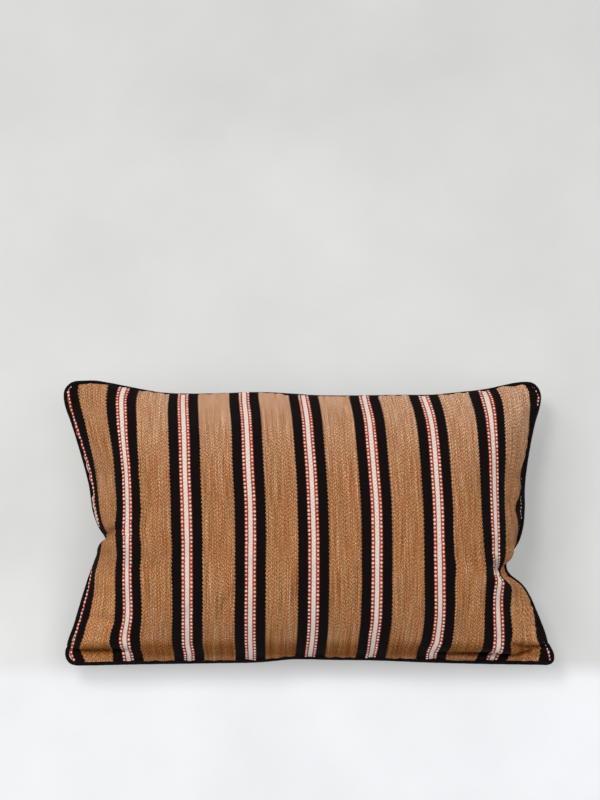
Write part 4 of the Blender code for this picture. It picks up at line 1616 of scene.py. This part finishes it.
@dataclass
class DotFloats:
    """The dots of the red lines: a yarn that floats over the face in short domes."""

    cloth: StripedCloth
    offset: np.ndarray
    resting_at: float
    length: float = 3.1
    width: float = 2.9
    height: float = 0.7
    unevenness: float = 0.18
    seed: int = 5
    hidden_squeeze: float = 0.25
    resting_clearance: float = 1.0
    segments: int = 7
    rings: int = 4

    def lines(self) -> list[float]:
        """Cloth coordinates of the dotted lines."""
        middles = self.cloth.repeat * np.arange(self.cloth.whole_stripes + 2)
        return [middle + hand * self.cloth.dots_from_middle for middle in middles for hand in (-1, 1)]

    def follow(self, across: float, points: np.ndarray, normals: np.ndarray, maps: np.ndarray) -> tuple:
        """Follow one dotted line over a panel.

        Args:
            across: Cloth coordinate of the line.
            points: Points of the panel.
            normals: Its normals.
            maps: Its cloth coordinates.

        Returns:
            The line's points, whether each of them is in sight, and the normals there.
        """
        places, shown, facing = [], [], []
        for line, directions, cloth in zip(points, normals, maps[..., 0]):
            column = np.interp(across, cloth, np.arange(len(line)))
            low = min(int(column), len(line) - 2)
            share = column - low
            places.append((1 - share) * line[low] + share * line[low + 1])
            facing.append((1 - share) * directions[low] + share * directions[low + 1])
            reach = np.linalg.norm(line[low + 1] - line[low])
            in_sight = reach > self.hidden_squeeze * (cloth[low + 1] - cloth[low])
            clear = places[-1][2] > self.resting_at + self.resting_clearance
            shown.append(in_sight and clear and cloth[0] < across < cloth[-1])
        return np.array(places), np.array(shown), np.array(facing)

    def guide(self, panels: list[tuple[np.ndarray, np.ndarray, int]]) -> bpy.types.Object:
        """Lay the dotted lines of both panels as open edges with their normals.

        Args:
            panels: Points, cloth coordinates and facing of each panel.

        Returns:
            The guide's object.
        """
        points, edges, normals = [], [], []
        for panel, maps, facing in panels:
            upright = grid_normals(panel)
            for across in self.lines():
                places, shown, directions = self.follow(across, panel, upright, maps)
                first = len(points)
                steps = np.nonzero(shown[:-1] & shown[1:])[0]
                edges.extend((first + int(step), first + int(step) + 1) for step in steps)
                points.extend((places + self.offset) * MM)
                normals.extend(facing * directions)
        mesh = bpy.data.meshes.new("dot_lines")
        mesh.from_pydata([tuple(p) for p in points], edges, [])
        normal = mesh.attributes.new("facing", "FLOAT_VECTOR", "POINT")
        normal.data.foreach_set("vector", np.array(normals, np.float32).ravel())
        piece = bpy.data.objects.new("dot_floats", mesh)
        bpy.context.scene.collection.objects.link(piece)
        return piece

    def tree(self, yarn: bpy.types.Material) -> bpy.types.NodeTree:
        """Build the nodes that set a dome at each pitch of the lines.

        Args:
            yarn: The floats' material.

        Returns:
            The node tree, with its sizes as named inputs.
        """
        tree = bpy.data.node_groups.new("float_rows", "GeometryNodeTree")
        sockets = tree.interface
        sockets.new_socket("Geometry", in_out="INPUT", socket_type="NodeSocketGeometry")
        for name in ("Pitch", "Length", "Width", "Height", "Unevenness"):
            sockets.new_socket(name, in_out="INPUT", socket_type="NodeSocketFloat")
        sockets.new_socket("Seed", in_out="INPUT", socket_type="NodeSocketInt")
        sockets.new_socket("Geometry", in_out="OUTPUT", socket_type="NodeSocketGeometry")
        given = add(tree, "NodeGroupInput").outputs
        lines = add(tree, "GeometryNodeMeshToCurve", {"Mesh": given["Geometry"]})
        spaced = add(tree, "GeometryNodeResampleCurve", {"Curve": lines, "Length": given["Pitch"]},
                     mode="LENGTH")
        tangent = add(tree, "GeometryNodeInputTangent")
        facing = add(tree, "GeometryNodeInputNamedAttribute", {"Name": "facing"}, data_type="FLOAT_VECTOR")
        turned = add(tree, "FunctionNodeAlignRotationToVector", {"Vector": facing}, axis="Z")
        turned = add(tree, "FunctionNodeAlignRotationToVector", {
            "Rotation": turned, "Vector": tangent}, axis="Y", pivot_axis="Z")
        least = add(tree, "ShaderNodeMath", (1.0, given["Unevenness"]), operation="SUBTRACT")
        most = add(tree, "ShaderNodeMath", (1.0, given["Unevenness"]), operation="ADD")
        uneven = add(tree, "FunctionNodeRandomValue", {2: least, 3: most, "Seed": given["Seed"]},
                     data_type="FLOAT")
        half_size = add(tree, "ShaderNodeCombineXYZ", (given["Width"], given["Length"], given["Height"]))
        size = add(tree, "ShaderNodeVectorMath", {0: half_size, "Scale": uneven.outputs[1]},
                   operation="SCALE")
        ball = add(tree, "GeometryNodeMeshUVSphere", {
            "Segments": self.segments, "Rings": self.rings, "Radius": 1.0})
        placed = add(tree, "GeometryNodeInstanceOnPoints", {
            "Points": spaced, "Instance": ball, "Rotation": turned, "Scale": size})
        solid = add(tree, "GeometryNodeRealizeInstances", {"Geometry": placed})
        smooth = add(tree, "GeometryNodeSetShadeSmooth", {"Geometry": solid})
        dressed = add(tree, "GeometryNodeSetMaterial", {"Geometry": smooth, "Material": yarn})
        add(tree, "NodeGroupOutput", {"Geometry": dressed})
        return tree

    def build(self, panels: list[tuple[np.ndarray, np.ndarray, int]]) -> bpy.types.Object:
        """Build the floats as one plain mesh.

        Args:
            panels: Points, cloth coordinates and facing of each panel.

        Returns:
            The floats' object.
        """
        guide = self.guide(panels)
        tree = self.tree(FloatYarn().material())
        modifier = guide.modifiers.new("float_rows", "NODES")
        modifier.node_group = tree
        values = {
            "Pitch": self.cloth.dot_pitch * MM,
            "Length": self.length / 2 * MM,
            "Width": self.width / 2 * MM,
            "Height": self.height * MM,
            "Unevenness": self.unevenness,
            "Seed": self.seed,
        }
        for socket in tree.interface.items_tree:
            if socket.in_out == "INPUT" and socket.name in values:
                modifier[socket.identifier] = values[socket.name]
        evaluated = guide.evaluated_get(bpy.context.evaluated_depsgraph_get())
        mesh = bpy.data.meshes.new_from_object(evaluated)
        guide.modifiers.remove(modifier)
        lines = guide.data
        guide.data = mesh
        mesh.name = guide.name
        bpy.data.meshes.remove(lines)
        bpy.data.node_groups.remove(tree)
        return guide

    def dress(self, piece: bpy.types.Object) -> None:
        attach(piece, BODY)


@dataclass(frozen=True)
class Studio:
    """A plain pale floor, soft light from the upper left and the camera."""

    floor_size: float = 14.0
    floor_drop: float = 0.0002
    camera_place: tuple[float, float, float] = (-0.0075, -0.2584, 2.3740)
    camera_lean: float = 10.0
    camera_lens: float = 85.0
    sky: str = "#f4f6f8"
    sky_strength: float = 0.38
    # Name, place, target, size, power and colour of each soft light
    lights = (
        ("key", (-1.0, 1.15, 2.7), (0.0, 0.0, 0.0), 1.1, 49.0, "#fffaf4"),
        ("fill", (1.8, 0.2, 2.4), (0.0, 0.0, 0.0), 2.6, 13.0, "#f6f9ff"),
    )

    def build_floor(self) -> None:
        """Lay the floor just under the cushion."""
        half = self.floor_size / 2
        corners = np.array([(-half, -half), (half, -half), (half, half), (-half, half)])
        points = np.column_stack([corners, np.full(4, -self.floor_drop)])
        floor = mesh_object("studio_floor", points, np.array([[0, 1, 2, 3]]))
        floor.data.materials.append(PaleFloor().material())

    def build_lights(self) -> None:
        """Set the sky and the soft lights."""
        world = bpy.data.worlds.new("soft_sky")
        world.use_nodes = True
        background = world.node_tree.nodes["Background"]
        background.inputs["Color"].default_value = linear(self.sky)
        background.inputs["Strength"].default_value = self.sky_strength
        bpy.context.scene.world = world
        for name, place, target, size, power, colour in self.lights:
            data = bpy.data.lights.new(name, "AREA")
            data.shape = "DISK"
            data.size = size
            data.energy = power
            data.color = linear(colour)[:3]
            lamp = bpy.data.objects.new(name, data)
            lamp.location = place
            direction = np.array(target) - np.array(place)
            flat = float(np.hypot(direction[0], direction[1]))
            lamp.rotation_euler = (
                float(np.arctan2(flat, -direction[2])), 0.0,
                float(np.arctan2(-direction[0], direction[1])))
            bpy.context.scene.collection.objects.link(lamp)

    def build_camera(self) -> None:
        """Set the camera at the photograph's angle to the face."""
        data = bpy.data.cameras.new("camera")
        data.lens = self.camera_lens
        camera = bpy.data.objects.new("camera", data)
        camera.location = self.camera_place
        camera.rotation_euler = (float(np.radians(self.camera_lean)), 0.0, 0.0)
        bpy.context.scene.collection.objects.link(camera)
        bpy.context.scene.camera = camera
        bpy.context.scene.view_settings.view_transform = "Standard"


def seam_offset(form: FilledForm, piping: Piping) -> np.ndarray:
    """Place of the tables' origin in the frame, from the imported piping's box.

    Args:
        form: The filled form.
        piping: The piping, whose cord marks the box.

    Returns:
        The offset in millimetres.
    """
    line = piping.path(form.seam_of(form.front()))
    low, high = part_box("piping")
    middle = (np.array(low) + np.array(high)) / 2 / MM
    own_middle = (line.min(axis=0) + line.max(axis=0)) / 2
    return np.array([middle[0] - own_middle[0], middle[1] - own_middle[1], form.flat_depth])


def main() -> None:
    """Build and dress every piece, then the studio around them."""
    logging.basicConfig(level=logging.INFO, format="%(name)s: %(message)s")
    form = FilledForm()
    cloth = StripedCloth()
    piping = Piping(offset=np.zeros(3))
    piping.offset = seam_offset(form, piping)

    studio = Studio()
    eye = np.array(studio.camera_place) / MM - piping.offset
    cover = Cover(form, cloth, piping.offset, eye)
    cover_piece, front, back, maps = cover.build()
    cover.dress(cover_piece)
    log.info("cover: %d faces, padded", len(cover_piece.data.polygons))

    piping_piece = piping.build(form.seam_of(front))
    piping.dress(piping_piece)
    log.info("edge piping: %d faces", len(piping_piece.data.polygons))

    floats = DotFloats(cloth, piping.offset, -form.flat_depth)
    float_piece = floats.build([
        (front, maps[PanelSide.FRONT], PanelSide.FRONT.value),
        (back, maps[PanelSide.BACK], PanelSide.BACK.value),
    ])
    floats.dress(float_piece)
    log.info("dot floats: %d faces", len(float_piece.data.polygons))

    studio.build_floor()
    studio.build_lights()
    studio.build_camera()


if __name__ == "__main__":
    main()
